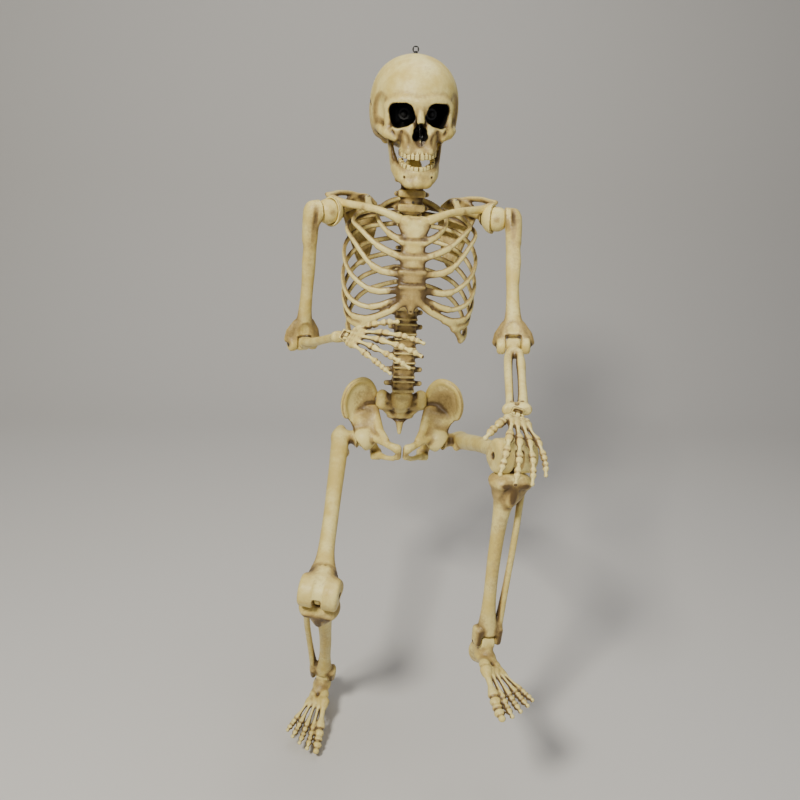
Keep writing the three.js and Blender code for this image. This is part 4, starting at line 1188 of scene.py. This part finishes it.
def tooth_row(clay, back, deep, wide, gum, edge, rise):
    """Fourteen teeth round an arch, from gum to biting edge.  The back ones stand `rise` higher."""
    widths = (8.4, 6.8, 7.6, 7.4, 7.2, 9.0, 8.8)  # from the front, on an arch 30 wide
    scale = wide / 30
    for q in (-1, 1):
        a = 0.0
        for i, width in enumerate(widths):
            radius = math.hypot(wide * math.cos(math.radians(a)), deep * math.sin(math.radians(a)))
            step = math.degrees(width * scale / radius)
            (x, y), out = arch_place(q * (a + step / 2), wide, deep, back)
            a += step
            along = np.array([-out[1], out[0], 0])
            lift = rise * (1 - math.cos(math.radians(a)))
            length = (gum - edge) * (1.06 if i == 2 else 0.94 if i in (1, 4) else 1.0)
            middle = gum - length / 2 + lift
            axes = [along, out, [0, 0, 1]]
            size = [width * scale * 0.515, 3.4 if i < 3 else 4.4, abs(length) / 2]
            clay.add(brick([x, y, middle], size, 1.7, axes), 0.3)
            root = gum + (gum - edge) * 0.45 + lift
            clay.bar([[x, y + 0.8, gum + lift, width * scale * 0.36], [x, y + 2.2, root, 1.6]], 2.0)


def skull():
    seam = 0.2
    half = 60  # of the block that cuts the other half away
    for name, node, low, high, keep in (
        ("skull_front", "skull_face", [-84, -100, -16], [84, SKULL_SPLIT + 2, 174], 1),
        ("skull_back", "skull_rear", [-84, SKULL_SPLIT - 2, -16], [84, 116, 174], -1),
    ):
        clay = Clay(low, high)
        cranium(clay)
        if keep > 0:
            face(clay)
        skull_base(clay)
        middle = SKULL_SPLIT + keep * (half + seam)
        clay.dig(brick([0, middle, 80], [120, half, 140], 0.5), 0.8)
        make_piece(name, clay, HEAD, "head", [node])
    boss = Clay([-8, 6, 164], [8, 22, 178], 1.0)
    boss.bar([[0, 14, 168, 5.5, 3.5], [0, 14, 173, 3, 2.2]])
    make_piece("loop_boss", boss, HEAD, "head", slot="black_plastic")
    teeth = Clay([-34, -92, -10], [34, -44, 22], 1.1)
    tooth_row(teeth, -52, 32, 29, 4, -6, 6)
    make_piece("upper_teeth", teeth, HEAD, "head")


JAW_REST = 9.0  # degrees that the mouth is open at rest


def jaw():
    """The lower jaw, drawn shut in the skull's frame and then turned open about its hinge."""
    clay = Clay([-56, -96, -62], [56, 10, 50], FINE)
    for q in (-1, 1):
        ramus = [
            [q * 47, -12, 36, 4.6, 6.5], [q * 45, -12, 20, 4.4, 10],
            [q * 41, -14, 0, 5, 16], [q * 38, -18, -12, 5.5, 15],
        ]
        clay.bar(ramus, 4)
        clay.bar([[q * 43, -27, 20, 3, 5], [q * 40, -27, -4, 4, 8]], 5)
        body = [
            [q * 38, -18, -12, 13, 5.5], [q * 36.5, -34, -15, 13, 6.5], [q * 33, -52, -20, 13, 7],
            [q * 26, -68, -25, 13, 7.5], [q * 14, -77, -29, 13, 7.5], [0, -78, -30, 13, 7.5],
        ]
        clay.bar(smooth_curve(body, 3), 5, Z_AXIS)
        clay.bar([[q * 36, -30, -22, 5], [q * 31, -52, -30, 5.5], [q * 17, -71, -36, 7]], 8)
        clay.add(blob([q * 13, -79, -36], [10, 7, 7]), 8)
        clay.dig(blob([q * 24, -79, -25], [1.5, 4, 1.5]), 1.5)
        clay.groove([[q * 15, -90, -24, 3.5], [q * 5, -92, -23, 3.5]], 8)
    clay.add(blob([0, -83, -33], [9, 7, 9]), 7)
    gum = []
    for degrees in range(-84, 85, 14):
        across, ahead = math.sin(math.radians(degrees)), math.cos(math.radians(degrees))
        gum.append([28 * across, -52 - 29 * ahead, -19 + 7 * (1 - ahead), 7.5, 4.5])
    clay.bar(gum, 4, Z_AXIS)
    teeth = Clay([-34, -92, -30], [34, -44, 10], 1.1)
    tooth_row(teeth, -51, 31, 28, -15, -7, 7)
    turn = np.eye(4)
    turn[:3, :3] = np.array(Matrix.Rotation(math.radians(JAW_REST), 3, "X"))
    hinge = np.array([0, -12.0, 34.0])
    turn[:3, 3] = hinge - turn[:3, :3] @ hinge
    make_piece("lower_jaw", clay, HEAD @ turn, "jaw", ["jaw"])
    make_piece("lower_teeth", teeth, HEAD @ turn, "jaw")


def neck_pivot():
    clay = Clay([-24, -24, -42], [24, 24, 12], FINE)
    clay.bar([[0, 0, -28, 19, 15], [0, 0, -20, 16, 14]])
    clay.add(brick([0, 0, -31], [20, 15.5, 3.4], 2), 2)
    clay.add(brick([0, 0, -8], [10.5, 7, 10], 3), 3)
    clay.add(drum([0, 0, 0], 8, 10.5, 2), 2)
    matrix = placed(spot("head_nod"), axis("head_nod"), axis("neck_turn"))
    make_piece("neck_pivot_bone", clay, matrix, "neck", ["neck_pivot"])


# ---------------------------------------------------------------- the figure
for side, q in SIDES:
    shoulder_joint(side, q)
    humerus(side, q)
    forearm(side, q)
    wrist_knuckle(side)
    hand(side, q)
    hip_ball(side)
    femur(side, q)
    foot(side, q, shin(side, q))
    hip_bone(side, q)
    clavicle(side, q)
    scapula(side, q)
rib_cage_front()
rib_cage_back()
lumbar_spine()
neck_vertebrae()
sacrum()
skull()
jaw()
neck_pivot()

for subpart in frame["record"]["subparts"]:
    slot = subpart["material_slot"]
    if slot in ("black_plastic", "dark_steel"):
        materials = frame["nodes"][subpart["node"]].data.materials
        materials.clear()
        materials.append(MATERIALS[slot])

# ---------------------------------------------------------------- stage
FLOOR_DROP = 0.012  # the floor lies this far under the lowest toe


def stage():
    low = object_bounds()[0][2] - FLOOR_DROP
    mesh = bpy.data.meshes.new("floor")
    reach, back, rise, bend = 6.0, 2.2, 4.0, 0.8
    profile = [(-reach, low), (back - bend, low)]
    profile += [
        (back - bend + bend * math.sin(a), low + bend - bend * math.cos(a))
        for a in np.linspace(0, math.pi / 2, 13)[1:]
    ]
    profile.append((back, low + rise))
    points = [(x, y, z) for y, z in profile for x in (-reach, reach)]
    faces = [(2 * i, 2 * i + 1, 2 * i + 3, 2 * i + 2) for i in range(len(profile) - 1)]
    mesh.from_pydata(points, [], faces)
    mesh.shade_smooth()
    n = Nodes("pale_floor")
    n.set("Base Color", (0.62, 0.6, 0.57, 1))
    n.set("Roughness", 0.9)
    mesh.materials.append(n.material)
    floor = bpy.data.objects.new("floor", mesh)
    bpy.context.scene.collection.objects.link(floor)
    floor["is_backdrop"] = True


def light(name, place, target, size, watts, colour=(1, 1, 1)):
    data = bpy.data.lights.new(name, "AREA")
    data.shape = "DISK"
    data.size = size
    data.energy = watts
    data.color = colour
    lamp = bpy.data.objects.new(name, data)
    lamp.location = place
    lamp.rotation_euler = (Vector(target) - Vector(place)).to_track_quat("-Z", "Y").to_euler()
    bpy.context.scene.collection.objects.link(lamp)


def camera():
    """The photograph's viewpoint: level with the face, a little to its right, and tipped down."""
    data = bpy.data.cameras.new("camera")
    data.sensor_width = 36
    data.lens = 37.7
    data.clip_start = 0.05
    eye = bpy.data.objects.new("camera", data)
    eye.location = (-0.123, -1.509, 0.649)
    turn = Matrix.Rotation(math.radians(-4.5), 3, "Z")
    turn = turn @ Matrix.Rotation(math.radians(90 - 19.1), 3, "X")
    turn = turn @ Matrix.Rotation(math.radians(2.7), 3, "Z")
    eye.rotation_euler = turn.to_euler()
    bpy.context.scene.collection.objects.link(eye)
    bpy.context.scene.camera = eye


stage()
light("key", (-1.0, -1.9, 1.9), (0, 0, 0.2), 0.5, 84, (1.0, 0.97, 0.88))
light("fill", (1.9, -1.5, 0.9), (0, 0, 0.1), 1.6, 8, (0.93, 0.96, 1.0))
light("top", (0.2, 0.4, 2.3), (0, 0, 0.2), 1.5, 22)
world = bpy.data.worlds.new("studio")
world.use_nodes = True
world.node_tree.nodes["Background"].inputs["Color"].default_value = (0.9, 0.92, 1.0, 1)
world.node_tree.nodes["Background"].inputs["Strength"].default_value = 0.13
bpy.context.scene.world = world
camera()
